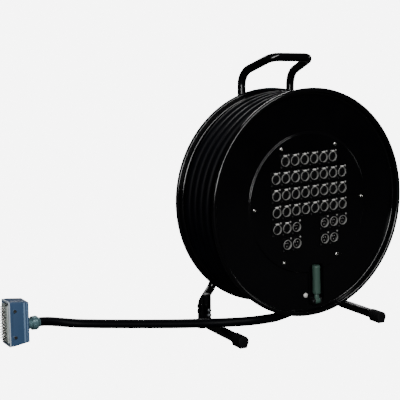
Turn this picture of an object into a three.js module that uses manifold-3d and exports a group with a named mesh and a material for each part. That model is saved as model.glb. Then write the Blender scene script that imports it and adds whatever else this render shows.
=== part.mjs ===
// Multicore cable drum: a pressed-steel drum that turns on one axle carried by a bent-tube stand.
// The front flange holds a field of round audio sockets, and the cable ends in a multipin plug.
// Millimetres, +Z up, front of the drum towards -Y, origin on the floor under the middle.

import * as THREE from "three";
import { mergeVertices } from "three/addons/utils/BufferGeometryUtils.js";
import Module from "manifold-3d";

const wasm = await Module();
wasm.setup();

// Fits and small clearances
const gap = 0.3;
const overrun = 6;
const full = Math.PI * 2;

// Socket field: each run is a first column, a last column and a row
const socketPitchX = 25.15;
const socketPitchZ = 36.2;
const socketTopRow = 97;
const columnCount = 8;
const middleColumn = (columnCount + 1) / 2;
const femaleRuns = [[2, 7, 1], [1, 8, 2], [1, 8, 3], [1, 8, 4], [1, 2, 5]];
const maleRunsLeft = [[3, 3, 5], [2, 3, 6]];
const maleRunsRight = [[6, 8, 5], [6, 7, 6]];
const femaleLinkColumn = 2;
const maleLinkColumns = [3, 6];
const socketHalfX = 12.4;
const socketHalfZ = 15.5;
const firstRun = femaleRuns[0];
const fieldReach = Math.hypot((firstRun[1] - middleColumn) * socketPitchX + socketHalfX, socketTopRow + socketHalfZ);

// Driving dimensions of the drum. The barrel goes round the socket field
const flangeRadius = 250;
const flangeSpacing = 160;
const beadRadius = 5;
const sheet = 2;
const rimDish = 11;
const rimCurl = 4;
const plateauStep = 5;
const plateauRise = 3;
const fieldMargin = 14.6;
const barrelRadius = Math.round(fieldReach + fieldMargin);
const barrelWall = 1.5;
const plateauRadius = barrelRadius + sheet;
const lipWidth = 13;
const screwInset = 7;
const screwCircle = barrelRadius - screwInset;
const screwCount = 6;
const drumTurn = THREE.MathUtils.degToRad(-2.4);
const floorClearance = 40;
const axleHeight = flangeRadius + floorClearance;

// Driving dimensions of the cable and its outer layer
const cableRadius = 10;
const holeSides = 10;
const cableHole = (cableRadius + gap) / Math.cos(Math.PI / holeSides);
const rimAboveWinding = 7.3;
const windingRadius = flangeRadius - rimAboveWinding - cableRadius;
const windingPitch = 26;
const windingStart = 31;
const windingBackRoom = 23.7;
const windingTurns = (flangeSpacing - windingBackRoom - windingStart) / windingPitch;
const leaveAngle = THREE.MathUtils.degToRad(12) + drumTurn;
const loopSteps = 24;
const loopSides = 6;

// Driving dimensions of the stand
const standTube = 9.5;
const footTube = 10.65;
const footSpread = 187;
const footFront = -22;
const stubBehind = 138;
const stubTop = 80;
const elbowRadius = 16;
const uprightSpread = 67;
const uprightClearance = 21.5;
const uprightBehind = flangeSpacing + uprightClearance;
const kneeRise = 33.5;
const kneeHeight = axleHeight + flangeRadius + kneeRise;
const kneeRadius = 38;
const crossbarSpread = 52;
const crossbarForward = 82;
const crossbarRise = 66.3;
const crossbarHeight = axleHeight + flangeRadius + crossbarRise;
const cornerRadius = 22;
const legBreakDrop = 44;
const legBreak = axleHeight - legBreakDrop;
const breakRadius = 45;
const legFootTop = 59;
const legRadius = 16;
const hipSide = 151;
const hipForward = 1;
const hipHeight = 82.5;
const soleDrop = 14;

// Crank
const crankSide = 14;
const pivotInside = 27.5;
const crankPivotDrop = flangeRadius - pivotInside;
const gripRadius = 9;
const gripLength = 65;
const neckRadius = 5.6;
const neckLength = 10;
const crankDepth = 9;
const pocketWidth = 38;
const pocketInside = 18;
const pocketRoom = 29;
const pocketHigh = gripLength + pocketRoom;
const pocketBottom = flangeRadius - pocketInside;
const pocketTop = pocketBottom - pocketHigh;
const pocketFloor = 19.5;
const pocketSheet = 1.2;
const pocketLip = 2.4;

// Finishes: colour, roughness and metalness of each piece's material
const finishes = {
  gloss: [0x0b0c0e, 0.22, 0.3],
  zinc: [0xb4b8bb, 0.35, 0.9],
  steel: [0x9a9da0, 0.4, 0.9],
  bronze: [0xa07a45, 0.45, 0.8],
  rubber: [0x101112, 0.8, 0],
  cable: [0x0c0c0e, 0.5, 0],
  plastic: [0x151618, 0.5, 0],
  nickel: [0xa9adae, 0.3, 0.9],
  insert: [0x0e0f10, 0.55, 0],
  grip: [0x51685f, 0.45, 0],
  hood: [0x35567e, 0.45, 0.2],
  carrier: [0xc4ccca, 0.5, 0],
  gold: [0xc8a456, 0.3, 0.9],
  blackScrew: [0x17181a, 0.4, 0.6],
};

// Makes one named mesh from a closed geometry
function mesh(name, geometry, finish) {
  const [color, roughness, metalness] = finishes[finish];
  const material = new THREE.MeshStandardMaterial({ color, roughness, metalness });
  const piece = new THREE.Mesh(geometry, material);
  piece.name = name;
  return piece;
}

// Closed geometry to boolean solid
function solid(geometry) {
  const bare = geometry.clone();
  bare.deleteAttribute("normal");
  bare.deleteAttribute("uv");
  const merged = mergeVertices(bare, 1e-4);
  const vertProperties = new Float32Array(merged.attributes.position.array);
  const triVerts = new Uint32Array(merged.index.array);
  return new wasm.Manifold(new wasm.Mesh({ numProp: 3, vertProperties, triVerts }));
}

// Boolean solid back to geometry
function geometryOf(body) {
  const data = body.getMesh();
  const geometry = new THREE.BufferGeometry();
  geometry.setAttribute("position", new THREE.BufferAttribute(new Float32Array(data.vertProperties), 3));
  geometry.setIndex(new THREE.BufferAttribute(new Uint32Array(data.triVerts), 1));
  return geometry;
}

// Joins a list of geometries into one
function joined(list) {
  return geometryOf(list.map(solid).reduce((sum, body) => sum.add(body)));
}

// Takes a list of geometries out of the first
function cut(geometry, tools) {
  const tool = tools.map(solid).reduce((sum, body) => sum.add(body));
  return geometryOf(solid(geometry).subtract(tool));
}

// Solid of revolution about Y from [radius, y] points in order round the section
function turned(profile, sides) {
  const area = profile.reduce((sum, [x, y], i) => {
    const [nx, ny] = profile[(i + 1) % profile.length];
    return sum + x * ny - nx * y;
  }, 0);
  const ordered = area > 0 ? profile : [...profile].reverse();
  const points = ordered.map(([x, y]) => new THREE.Vector2(x, y));
  const onAxis = points.filter((point) => point.x === 0).length;
  if (onAxis === 0) {
    points.push(points[0].clone());
    return new THREE.LatheGeometry(points, sides);
  }
  const first = points.findIndex((p, i) => p.x === 0 && points[(i + points.length - 1) % points.length].x === 0);
  const open = [...points.slice(first), ...points.slice(0, first)];
  return new THREE.LatheGeometry(open, sides);
}

// Ring about Y between two radii and two y places
function ring(inner, outer, y0, y1, sides) {
  return turned([[inner, y0], [outer, y0], [outer, y1], [inner, y1]], sides);
}

// Plain rod about Y
function rod(radius, y0, y1, sides) {
  const geometry = new THREE.CylinderGeometry(radius, radius, y1 - y0, sides);
  geometry.translate(0, (y0 + y1) / 2, 0);
  return geometry;
}

// Box from its low and high corners
function block(low, high) {
  const size = high.map((value, i) => value - low[i]);
  const geometry = new THREE.BoxGeometry(...size);
  geometry.translate(...low.map((value, i) => value + size[i] / 2));
  return geometry;
}

// Flat plate from an outline in X and Z, between two y places
function plate(outline, y0, y1, holes = []) {
  const shape = new THREE.Shape(outline.map(([x, z]) => new THREE.Vector2(x, z)));
  for (const hole of holes) {
    shape.holes.push(new THREE.Path(hole.map(([x, z]) => new THREE.Vector2(x, z))));
  }
  const geometry = new THREE.ExtrudeGeometry(shape, { depth: y1 - y0, bevelEnabled: false, steps: 1 });
  geometry.rotateX(Math.PI / 2);
  geometry.translate(0, y1, 0);
  return geometry;
}

// Outline of a rectangle with rounded corners
function roundedOutline(halfX, halfZ, radius, steps, midX = 0, midZ = 0) {
  const points = [];
  for (let corner = 0; corner < 4; corner += 1) {
    const signX = corner === 0 || corner === 3 ? 1 : -1;
    const signZ = corner < 2 ? 1 : -1;
    for (let i = 0; i <= steps; i += 1) {
      const angle = (corner + i / steps) * Math.PI / 2;
      const x = signX * (halfX - radius) + radius * Math.cos(angle);
      const z = signZ * (halfZ - radius) + radius * Math.sin(angle);
      points.push([midX + x, midZ + z]);
    }
  }
  return points;
}

// Regular outline with its flats square to the axes
function polygonOutline(inscribed, sides, midX = 0, midZ = 0) {
  const radius = inscribed / Math.cos(Math.PI / sides);
  return Array.from({ length: sides }, (_, i) => {
    const angle = full * (i + 0.5) / sides;
    return [midX + radius * Math.cos(angle), midZ + radius * Math.sin(angle)];
  });
}

// A path through stations, so that long straight runs take no more steps than they need
class StationPath extends THREE.Curve {
  constructor(stations) {
    super();
    this.stations = stations;
  }

  getPointAt(u) {
    return this.stations[Math.round(u * (this.stations.length - 1))].clone();
  }

  getPoint(u) {
    return this.getPointAt(u);
  }

  getTangentAt(u) {
    const last = this.stations.length - 1;
    const at = Math.round(u * last);
    const before = this.stations[Math.max(at - 1, 0)];
    const after = this.stations[Math.min(at + 1, last)];
    const back = this.stations[at].clone().sub(before).normalize();
    const ahead = after.clone().sub(this.stations[at]).normalize();
    return back.add(ahead).normalize();
  }
}

// Stations of a polyline whose corners are bent to the given radii
const bendStep = THREE.MathUtils.degToRad(23);
function bentStations(points, radii) {
  const stations = [points[0].clone()];
  for (let i = 1; i < points.length - 1; i += 1) {
    const inward = points[i].clone().sub(points[i - 1]).normalize();
    const outward = points[i + 1].clone().sub(points[i]).normalize();
    const bend = inward.angleTo(outward);
    const reach = radii[i - 1] * Math.tan(bend / 2);
    const start = points[i].clone().addScaledVector(inward, -reach);
    const inside = outward.clone().addScaledVector(inward, -outward.dot(inward)).normalize();
    const centre = start.clone().addScaledVector(inside, radii[i - 1]);
    const steps = Math.ceil(bend / bendStep);
    for (let step = 0; step <= steps; step += 1) {
      const angle = bend * step / steps;
      const point = centre.clone().addScaledVector(inside, -radii[i - 1] * Math.cos(angle));
      stations.push(point.addScaledVector(inward, radii[i - 1] * Math.sin(angle)));
    }
  }
  stations.push(points[points.length - 1].clone());
  return stations;
}

// Round section carried along stations
function tubeAlong(stations, radius, sides) {
  const section = new THREE.Shape();
  for (let i = 0; i < sides; i += 1) {
    const angle = full * i / sides;
    const x = radius * Math.cos(angle);
    const y = radius * Math.sin(angle);
    if (i === 0) section.moveTo(x, y);
    else section.lineTo(x, y);
  }
  section.closePath();
  const extrudePath = new StationPath(stations);
  return new THREE.ExtrudeGeometry(section, { steps: stations.length - 1, extrudePath, bevelEnabled: false });
}

// A copy of a geometry moved to a place
function moved(geometry, x, y, z) {
  return geometry.clone().translate(x, y, z);
}

// Copies of a geometry on a circle about Y, first copy on +X
function around(geometry, count, radius) {
  return Array.from({ length: count }, (_, i) => {
    const angle = full * i / count;
    return moved(geometry, radius * Math.cos(angle), 0, radius * Math.sin(angle));
  });
}

// Y places shared by the drum's pieces, measured from the front rim
const webFront = rimDish;
const plateauFront = webFront - plateauRise;
const plateauBack = plateauFront + sheet;
const webBack = webFront + sheet;
const flangeSides = 36;

// Section of a pressed flange: rolled rim, dished web, raised middle. The front is at low y.
const rimInner = flangeRadius - 2 * beadRadius;
const rimMid = flangeRadius - beadRadius;
const rimHalf = beadRadius / 2;
const rimHigh = beadRadius * Math.sin(Math.PI / 3);
const rolledEdge = [
  [rimInner - rimCurl, webFront],
  [rimInner, 0],
  [rimMid - rimHalf, -rimHigh],
  [rimMid + rimHalf, -rimHigh],
  [flangeRadius, 0],
  [rimMid + rimHalf, rimHigh],
  [rimMid - rimHalf, rimHigh],
  [rimInner - rimCurl + sheet, webBack],
];

function flangeSection(innerRadius) {
  return [
    [innerRadius, plateauFront],
    [plateauRadius, plateauFront],
    [plateauRadius + plateauStep, webFront],
    ...rolledEdge,
    [plateauRadius + plateauStep, webBack],
    [plateauRadius, plateauBack],
    [innerRadius, plateauBack],
  ];
}

// The rear flange is the same pressing turned round
function mirrored(section) {
  return section.map(([radius, y]) => [radius, flangeSpacing - y]);
}

// Place of a socket's centre in the drum's plane
function socketPlace(column, row) {
  const x = (column - middleColumn) * socketPitchX;
  const z = socketTopRow - (row - 1) * socketPitchZ;
  return [x, z];
}

function runPlaces([first, last, row]) {
  return Array.from({ length: last - first + 1 }, (_, i) => socketPlace(first + i, row));
}

const maleRuns = [...maleRunsLeft, ...maleRunsRight];
const femalePlaces = femaleRuns.flatMap(runPlaces);
const malePlaces = maleRuns.flatMap(runPlaces);

// Socket body sizes
const socketPlate = 1.6;
const socketBore = 9.7;
const socketBody = 11.2;
const socketHole = 11.6;
const socketRear = 16;
const boreDepth = 14;
const boreSides = 8;
const bodySides = 6;
const latchHalf = 4.7;
const latchHeight = 3;
const latchThickness = 2;
const latchTravel = 1.2;
const socketPlateBack = plateauFront - gap;
const socketPlateFront = socketPlateBack - socketPlate;
const boreFloor = socketPlateFront + boreDepth;
const socketEnd = plateauBack + socketRear;
const latchBack = socketPlateFront - latchTravel - gap;

// Bar across a run, reaching out by a half width and a half height, between two y places
function runBar([first, last, row], halfX, halfZ, y0, y1) {
  const [x0, z] = socketPlace(first, row);
  const [x1] = socketPlace(last, row);
  return block([x0 - halfX, y0, z - halfZ], [x1 + halfX, y1, z + halfZ]);
}

// Upright bar on one column, between the first and last of some rows
function columnBar(column, firstRow, lastRow, half, y0, y1) {
  const [x, high] = socketPlace(column, firstRow);
  const [, low] = socketPlace(column, lastRow);
  return block([x - half, y0, low], [x + half, y1, high]);
}

// Socket bodies of some runs: face plates side by side, barrels behind them and a bore through each.
// A narrow link behind the plates' faces ties the runs to each other.
const linkHalf = 3;
const linkFront = (socketPlateFront + socketPlateBack) / 2;

function socketShells(runs, linkColumn) {
  const rows = runs.map((run) => run[2]);
  const faces = runs.map((run) => runBar(run, socketHalfX, socketHalfZ, socketPlateFront, socketPlateBack));
  const link = columnBar(linkColumn, Math.min(...rows), Math.max(...rows), linkHalf, linkFront, socketPlateBack);
  const places = runs.flatMap(runPlaces);
  const rear = plate(polygonOutline(socketBody, bodySides), socketPlateFront, socketEnd);
  const bore = plate(polygonOutline(socketBore, boreSides), socketPlateFront - overrun, socketEnd + overrun);
  const rears = places.map(([x, z]) => moved(rear, x, 0, z));
  const bores = places.map(([x, z]) => moved(bore, x, 0, z));
  return cut(joined([...faces, link, ...rears]), bores);
}

// Insulating blocks of some runs, tied behind the barrels by wiring bars
const tieHalf = 10.4;
const uprightHalf = 2;
const tieThick = 3;
const tieFront = socketEnd + gap;
const tieBack = tieFront + tieThick;

function socketInserts(runs, linkColumn, item) {
  const rows = runs.map((run) => run[2]);
  const bars = [...new Set(rows)].map((row) => {
    const same = runs.filter((run) => run[2] === row);
    const first = Math.min(...same.map((run) => run[0]));
    const last = Math.max(...same.map((run) => run[1]));
    return runBar([first, last, row], tieHalf, tieHalf, tieFront, tieBack);
  });
  const upright = columnBar(linkColumn, Math.min(...rows), Math.max(...rows), uprightHalf, tieFront, tieBack);
  const places = runs.flatMap(runPlaces);
  return joined([...bars, upright, ...places.map(([x, z]) => moved(item, x, 0, z))]);
}

// Crank line in the drum's plane
const pivotPlace = [crankSide, crankDepth, -crankPivotDrop];
const knuckleRadius = 7;
const knuckleHalf = 6;
const spindleRadius = 4.1;
const gripBore = 4.7;
const neckSink = 1;
const gripStart = knuckleRadius + neckLength - neckSink;
const pocketHalf = pocketWidth / 2;
const pocketCornerRadius = 12;

function pocketOutline(grow) {
  const midZ = -(pocketTop + pocketBottom) / 2;
  const halfZ = (pocketBottom - pocketTop) / 2;
  return roundedOutline(pocketHalf + grow, halfZ + grow, pocketCornerRadius + grow, 2, crankSide, midZ);
}

// Drum pieces

function frontFlange() {
  const edge = rimInner - rimCurl - gap;
  const step = plateauRadius + plateauStep;
  const body = turned([[0, plateauFront], [plateauRadius, plateauFront], [step, webFront], [edge, webFront],
    [edge, webBack], [step, webBack], [plateauRadius, plateauBack], [0, plateauBack]], flangeSides);
  const hole = plate(polygonOutline(socketHole, bodySides), plateauFront - overrun, plateauBack + overrun);
  const socketHoles = [...femalePlaces, ...malePlaces].map(([x, z]) => moved(hole, x, 0, z));
  const screwHole = rod(screwShank + gap, plateauFront - overrun, plateauBack + overrun, 6);
  const pocketHole = plate(pocketOutline(pocketSheet + gap), -beadRadius, webBack + overrun);
  const studHole = moved(rod(studShank + gap, plateauFront, webBack + overrun, 8), studSide, 0, -studDrop);
  const tools = [...socketHoles, ...around(screwHole, screwCount, screwCircle), pocketHole, studHole];
  return cut(body, tools);
}

// The front flange's rolled rim is a piece of its own, because the web carries the sockets' openings
function frontRim() {
  return turned([...rolledEdge, [rimInner - rimCurl, webBack]], flangeSides);
}

// Six studs on a ring inside the barrel's lip hold each flange, with bright domed heads outside
const screwShank = 2.5;
const screwHead = 5;
const screwHeadRise = 3;
const headCrownShare = 0.62;
const studRingHalf = 4.5;
const studRingInner = screwCircle - studRingHalf;
const studRingOuter = screwCircle + studRingHalf;
const studRingSides = 18;

function studRing(headY, inward) {
  const ringNear = headY + inward * (3 * gap + 2 * sheet);
  const ringFar = ringNear + inward * sheet;
  const middle = (ringNear + ringFar) / 2;
  const head = turned([
    [0, headY],
    [screwHead, headY],
    [screwHead * headCrownShare, headY - inward * screwHeadRise],
    [0, headY - inward * screwHeadRise],
  ], 6);
  const shank = rod(screwShank, Math.min(headY, middle), Math.max(headY, middle), 6);
  const low = Math.min(ringNear, ringFar);
  const high = Math.max(ringNear, ringFar);
  const backing = ring(studRingInner, studRingOuter, low, high, studRingSides);
  return joined([backing, ...around(joined([head, shank]), screwCount, screwCircle)]);
}

const barrelFront = plateauBack + gap;
const barrelBack = flangeSpacing - plateauBack - gap;

// Room for the crank's pocket in the barrel's front edge
function pocketNotch() {
  const outline = pocketOutline(pocketSheet + pocketLip + gap);
  return plate(outline, plateauBack - overrun, pocketFloor + pocketSheet + gap);
}

function barrel() {
  const inner = barrelRadius - barrelWall;
  const lip = barrelRadius - lipWidth;
  const body = turned([
    [lip, barrelFront],
    [barrelRadius, barrelFront],
    [barrelRadius, barrelBack],
    [lip, barrelBack],
    [lip, barrelBack - sheet],
    [inner, barrelBack - sheet],
    [inner, barrelFront + sheet],
    [lip, barrelFront + sheet],
  ], flangeSides);
  const shank = rod(screwShank + gap, barrelFront - overrun, barrelBack + overrun, 6);
  const entry = rod(cableHole, barrelRadius - lipWidth - overrun, barrelRadius + overrun, holeSides);
  entry.rotateX(Math.PI / 2);
  entry.translate(0, loomEntryY, 0);
  return cut(body, [...around(shank, screwCount, screwCircle), pocketNotch(), entry]);
}

// Axle, hub and bearings
const axleRadius = 10;
const bushRadius = 14;
const bushFlange = 18;
const bushLength = 20;
const bushLip = 2;
const hubWall = 4;
const hubFront = 56;
const bulkheadAt = 62;
const runningGap = 0.5;
const turnSides = 16;
const hubInner = bushRadius + gap;
const hubOuter = hubInner + hubWall;
const hubBack = flangeSpacing - plateauFront + sheet;

function bush(flangeY, inward) {
  const bore = axleRadius + runningGap;
  const end = flangeY + inward * (bushLip + bushLength);
  const face = flangeY + inward * bushLip;
  return turned([[bore, flangeY], [bushFlange, flangeY], [bushFlange, face], [bushRadius, face], [bushRadius, end],
    [bore, end]], turnSides);
}

const bushFrontFace = hubFront - gap - bushLip;
const bushBackFace = hubBack + gap + bushLip;
const washerRadius = 17;
const washerHigh = 2;
const axleNutRadius = 15;
const axleNutHigh = 12;
const threadRadius = 8;
const plateThick = 4;
const plateFront = uprightBehind - standTube - gap - plateThick;
const shoulderRadius = 16;
const axleShoulder = bushBackFace + gap;

// The shaft has a shoulder against the plate and a thread at each end
function stubAxle() {
  const frontThread = bushFrontFace - gap - washerHigh - gap - axleNutHigh - 2 * sheet;
  const rearThread = plateFront + plateThick + gap + washerHigh + gap + axleNutHigh + 2 * sheet;
  const shaftFront = bushFrontFace;
  return turned([
    [0, frontThread],
    [threadRadius, frontThread],
    [threadRadius, shaftFront],
    [axleRadius, shaftFront],
    [axleRadius, axleShoulder],
    [shoulderRadius, axleShoulder],
    [shoulderRadius, plateFront - gap],
    [threadRadius, plateFront - gap],
    [threadRadius, rearThread],
    [0, rearThread],
  ], turnSides);
}

function axleWasher(y0) {
  return ring(threadRadius + gap, washerRadius, y0, y0 + washerHigh, turnSides);
}

function axleNut(y0) {
  const bore = rod(threadRadius + gap, y0 - overrun, y0 + axleNutHigh + overrun, turnSides);
  return cut(rod(axleNutRadius, y0, y0 + axleNutHigh, 6), [bore]);
}

// The bulkhead is a disc that carries the hub's front end, with three windows for the loom
const bulkheadWindowInset = 62;
const bulkheadWindow = 24;
const bulkheadWindowAt = barrelRadius - bulkheadWindowInset;

function bulkhead() {
  const body = ring(hubOuter + gap, barrelRadius - barrelWall - gap, bulkheadAt, bulkheadAt + sheet, flangeSides);
  const tools = [90, 210, 330].map((degrees) => {
    const angle = THREE.MathUtils.degToRad(degrees);
    const window = rod(bulkheadWindow, bulkheadAt - overrun, bulkheadAt + overrun, 8);
    return moved(window, bulkheadWindowAt * Math.cos(angle), 0, bulkheadWindowAt * Math.sin(angle));
  });
  return cut(body, tools);
}

// Winding: an outer layer of turns over a plain core
const envelope = windingRadius + cableRadius;
const trimRadius = envelope + gap;
const trimSides = 96;
const coreOuter = windingRadius * Math.cos(Math.PI / loopSteps) - cableRadius - gap;
const coreFront = pocketFloor + pocketSheet + gap;
const coreBack = flangeSpacing - webBack - gap;
const windingEnd = windingStart + windingTurns * windingPitch;
const riserStart = leaveAngle + full * windingTurns;
const riserSweep = THREE.MathUtils.degToRad(36);

function windingPoint(angle, radius = windingRadius) {
  const y = windingStart + windingPitch * (angle - leaveAngle) / full;
  return new THREE.Vector3(radius * Math.sin(angle), y, -radius * Math.cos(angle));
}

// Centre line: a straight run off the drum, the helix, and a straight run to the riser
function windingStations() {
  const leave = new THREE.Vector3(-Math.cos(leaveAngle), 0, -Math.sin(leaveAngle));
  const start = windingPoint(leaveAngle);
  const runOut = Math.sqrt((envelope + 2 * cableRadius) ** 2 - windingRadius ** 2);
  const stations = [start.clone().addScaledVector(leave, runOut)];
  stations.push(start.clone().addScaledVector(leave, 2 * cableRadius));
  const steps = Math.round(windingTurns * loopSteps);
  for (let i = 0; i <= steps; i += 1) {
    stations.push(windingPoint(leaveAngle + full * windingTurns * i / steps));
  }
  const last = stations[stations.length - 1];
  const ahead = new THREE.Vector3(Math.cos(riserStart), 0, Math.sin(riserStart));
  stations.push(last.clone().addScaledVector(ahead, 2 * cableRadius));
  return stations;
}

// Section rings joined by hand, with each ring square to the line and one corner facing out
function windingTube(stations) {
  const rings = stations.map((point, i) => {
    const before = stations[Math.max(i - 1, 0)];
    const after = stations[Math.min(i + 1, stations.length - 1)];
    const tangent = after.clone().sub(before).normalize();
    const across = new THREE.Vector3(0, 1, 0).addScaledVector(tangent, -tangent.y).normalize();
    const out = tangent.clone().cross(across).normalize();
    return Array.from({ length: loopSides }, (_, k) => {
      const angle = full * k / loopSides;
      const side = point.clone().addScaledVector(out, cableRadius * Math.cos(angle));
      return side.addScaledVector(across, cableRadius * Math.sin(angle));
    });
  });
  const position = [...rings.flat(), stations[0], stations[stations.length - 1]].flatMap((p) => [p.x, p.y, p.z]);
  const index = [];
  for (let i = 0; i + 1 < rings.length; i += 1) {
    for (let k = 0; k < loopSides; k += 1) {
      const a = i * loopSides + k;
      const b = i * loopSides + (k + 1) % loopSides;
      index.push(a, a + loopSides, b, b, a + loopSides, b + loopSides);
    }
  }
  const startCentre = rings.length * loopSides;
  const lastRing = startCentre - loopSides;
  for (let k = 0; k < loopSides; k += 1) {
    const next = (k + 1) % loopSides;
    index.push(startCentre, k, next);
    index.push(startCentre + 1, lastRing + next, lastRing + k);
  }
  const geometry = new THREE.BufferGeometry();
  geometry.setAttribute("position", new THREE.Float32BufferAttribute(position, 3));
  geometry.setIndex(index);
  return geometry;
}

// Least gap of the outer layer to itself, measured on the tube's own corner points
function leastSelfGap(stations) {
  let least = Infinity;
  for (let i = 2; i < stations.length; i += 1) {
    for (let j = i + loopSteps / 2; j < stations.length - 1; j += 1) {
      const segment = new THREE.Line3(stations[j], stations[j + 1]);
      const near = segment.closestPointToPoint(stations[i], true, new THREE.Vector3());
      least = Math.min(least, near.distanceTo(stations[i]) - 2 * cableRadius);
    }
  }
  return least;
}

// The outer layer is trimmed at its own outside, so the cable that leaves it can lie still as the drum turns
function windingOuterLayer() {
  const stations = windingStations();
  console.log(`least gap between turns: ${leastSelfGap(stations).toFixed(2)} mm`);
  const trim = turned([[0, -overrun], [trimRadius, -overrun], [trimRadius, flangeSpacing], [0, flangeSpacing]], trimSides);
  return geometryOf(solid(windingTube(stations)).intersect(solid(trim)));
}

// The core fills the layers below, with the climb of the last turn as a wedge on its outside
function windingCore() {
  const body = ring(barrelRadius + gap, coreOuter, coreFront, coreBack, flangeSides);
  const steps = 6;
  const startAngle = riserStart + (2 * cableRadius + 4 * gap) / windingRadius;
  const outer = Array.from({ length: steps + 1 }, (_, i) => {
    const angle = startAngle + riserSweep * i / steps;
    const radius = envelope - (envelope - coreOuter + gap) * i / steps;
    return [radius * Math.sin(angle), -radius * Math.cos(angle)];
  });
  const inner = Array.from({ length: steps + 1 }, (_, i) => {
    const angle = startAngle + riserSweep * (1 - i / steps);
    const radius = coreOuter - cableRadius;
    return [radius * Math.sin(angle), -radius * Math.cos(angle)];
  });
  const riser = plate([...outer, ...inner], windingEnd - cableRadius, coreBack - gap);
  return joined([body, riser]);
}

// Loom inside the barrel
const loomEntryY = 105;
const loomTrunkInset = 56;
const loomTrunkReach = barrelRadius - loomTrunkInset;
const loomSpineRadius = 8;
const loomBranchRadius = 4;
const loomBack = tieBack + gap + loomBranchRadius;
const loomSpineSide = 34;
const glandRadius = 15;
const glandHigh = 14;

// Trunk: from the barrel's wall inward, then forward through the bulkhead's top window
function loomTrunk() {
  const top = new THREE.Vector3(0, loomEntryY, barrelRadius - barrelWall);
  const turn = new THREE.Vector3(0, loomEntryY, loomTrunkReach);
  const front = new THREE.Vector3(0, loomBack + loomBranchRadius + gap, loomTrunkReach);
  return tubeAlong(bentStations([top, turn, front], [4 * cableRadius]), cableRadius, 8);
}

// Spine and branches that reach the back of each row
function connectorLoom() {
  const spineLow = socketTopRow - 5 * socketPitchZ;
  const spine = new THREE.CylinderGeometry(loomSpineRadius, loomSpineRadius, socketTopRow - spineLow, 6);
  spine.rotateX(Math.PI / 2);
  spine.translate(loomSpineSide, loomBack + loomBranchRadius, (socketTopRow + spineLow) / 2);
  const branches = [[2, 7], [1, 8], [1, 8], [1, 8], [1, 8], [2, 7]].map(([first, last], i) => {
    const length = (last - first) * socketPitchX;
    const branch = new THREE.CylinderGeometry(loomBranchRadius, loomBranchRadius, length, 5);
    branch.rotateZ(Math.PI / 2);
    branch.translate(0, loomBack, socketTopRow - i * socketPitchZ);
    return branch;
  });
  return joined([spine, ...branches]);
}

function loomGland() {
  const outer = (barrelRadius - barrelWall) * Math.cos(Math.PI / flangeSides) - gap;
  const seat = Math.sqrt(outer ** 2 - glandRadius ** 2);
  const body = rod(glandRadius, seat - glandHigh, seat, 8);
  const bore = rod(cableHole, seat - glandHigh - overrun, seat + overrun, holeSides);
  const gland = cut(body, [bore]);
  gland.rotateX(Math.PI / 2);
  gland.translate(0, loomEntryY, 0);
  return gland;
}

// Crank: pocket, bracket, pin, folding spindle and turning grip
const pinRadius = 2.5;
const pinHeadStep = 2;
const bracketHalf = 10;
const bracketWall = 3;
const studSide = -15;
const studInside = 44;
const studDrop = flangeRadius - studInside;
const studShank = 3;
const studHead = 5.5;
const studRise = 4;

function crankPocket() {
  const body = plate(pocketOutline(pocketSheet), plateauFront, pocketFloor + pocketSheet);
  const flange = plate(pocketOutline(pocketSheet + pocketLip), webBack + gap, webBack + gap + pocketSheet);
  const hollow = plate(pocketOutline(0), plateauFront - overrun, pocketFloor);
  return cut(joined([body, flange]), [hollow]);
}

// Bracket: two ears on a foot that stands on the pocket's floor
function crankBracket() {
  const [x, y, z] = pivotPlace;
  const foot = block([x - bracketHalf, pocketFloor - gap - sheet, z - knuckleRadius],
    [x + bracketHalf, pocketFloor - gap, z + knuckleRadius]);
  const ears = [-1, 1].map((side) => {
    const inner = x + side * (bracketHalf - bracketWall);
    const outer = x + side * bracketHalf;
    return block([Math.min(inner, outer), y - knuckleRadius, z - knuckleRadius],
      [Math.max(inner, outer), pocketFloor - gap - sheet / 2, z + knuckleRadius]);
  });
  return cut(joined([foot, ...ears]), [alongX(pinRadius + gap, x - 2 * bracketHalf, x + 2 * bracketHalf, y, z, 8)]);
}

// Rod along X at a place
function alongX(radius, x0, x1, y, z, sides) {
  const geometry = new THREE.CylinderGeometry(radius, radius, x1 - x0, sides);
  geometry.rotateZ(Math.PI / 2);
  geometry.translate((x0 + x1) / 2, y, z);
  return geometry;
}

// Rod along Z at a place
function alongZ(radius, z0, z1, x, y, sides) {
  const geometry = new THREE.CylinderGeometry(radius, radius, z1 - z0, sides);
  geometry.rotateX(Math.PI / 2);
  geometry.translate(x, y, (z0 + z1) / 2);
  return geometry;
}

function crankPin() {
  const [x, y, z] = pivotPlace;
  const end = bracketHalf + gap;
  const headHigh = pinHeadStep;
  const heads = [-1, 1].map((side) => {
    const inner = x + side * end;
    const outer = x + side * (end + headHigh);
    return alongX(pinRadius + pinHeadStep, Math.min(inner, outer), Math.max(inner, outer), y, z, 8);
  });
  return joined([alongX(pinRadius, x - end - headHigh, x + end + headHigh, y, z, 8), ...heads]);
}

function crankSpindle() {
  const [x, y, z] = pivotPlace;
  const knuckle = alongX(knuckleRadius, x - knuckleHalf, x + knuckleHalf, y, z, 12);
  const neckEnd = z + gripStart - gap;
  const neck = alongZ(neckRadius, z + knuckleRadius / 2, neckEnd, x, y, 12);
  const topEnd = z + gripStart + gripLength - gripHeadDeep;
  const spindle = alongZ(spindleRadius, z + knuckleRadius, topEnd, x, y, 12);
  const head = alongZ(gripHeadRadius - gap, topEnd, topEnd + gripHeadDeep - gap, x, y, 12);
  const bore = alongX(pinRadius + runningGap, x - bracketHalf, x + bracketHalf, y, z, 12);
  return cut(joined([knuckle, neck, spindle, head]), [bore]);
}
const gripHeadRadius = 6.5;
const gripHeadDeep = 4;

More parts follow.
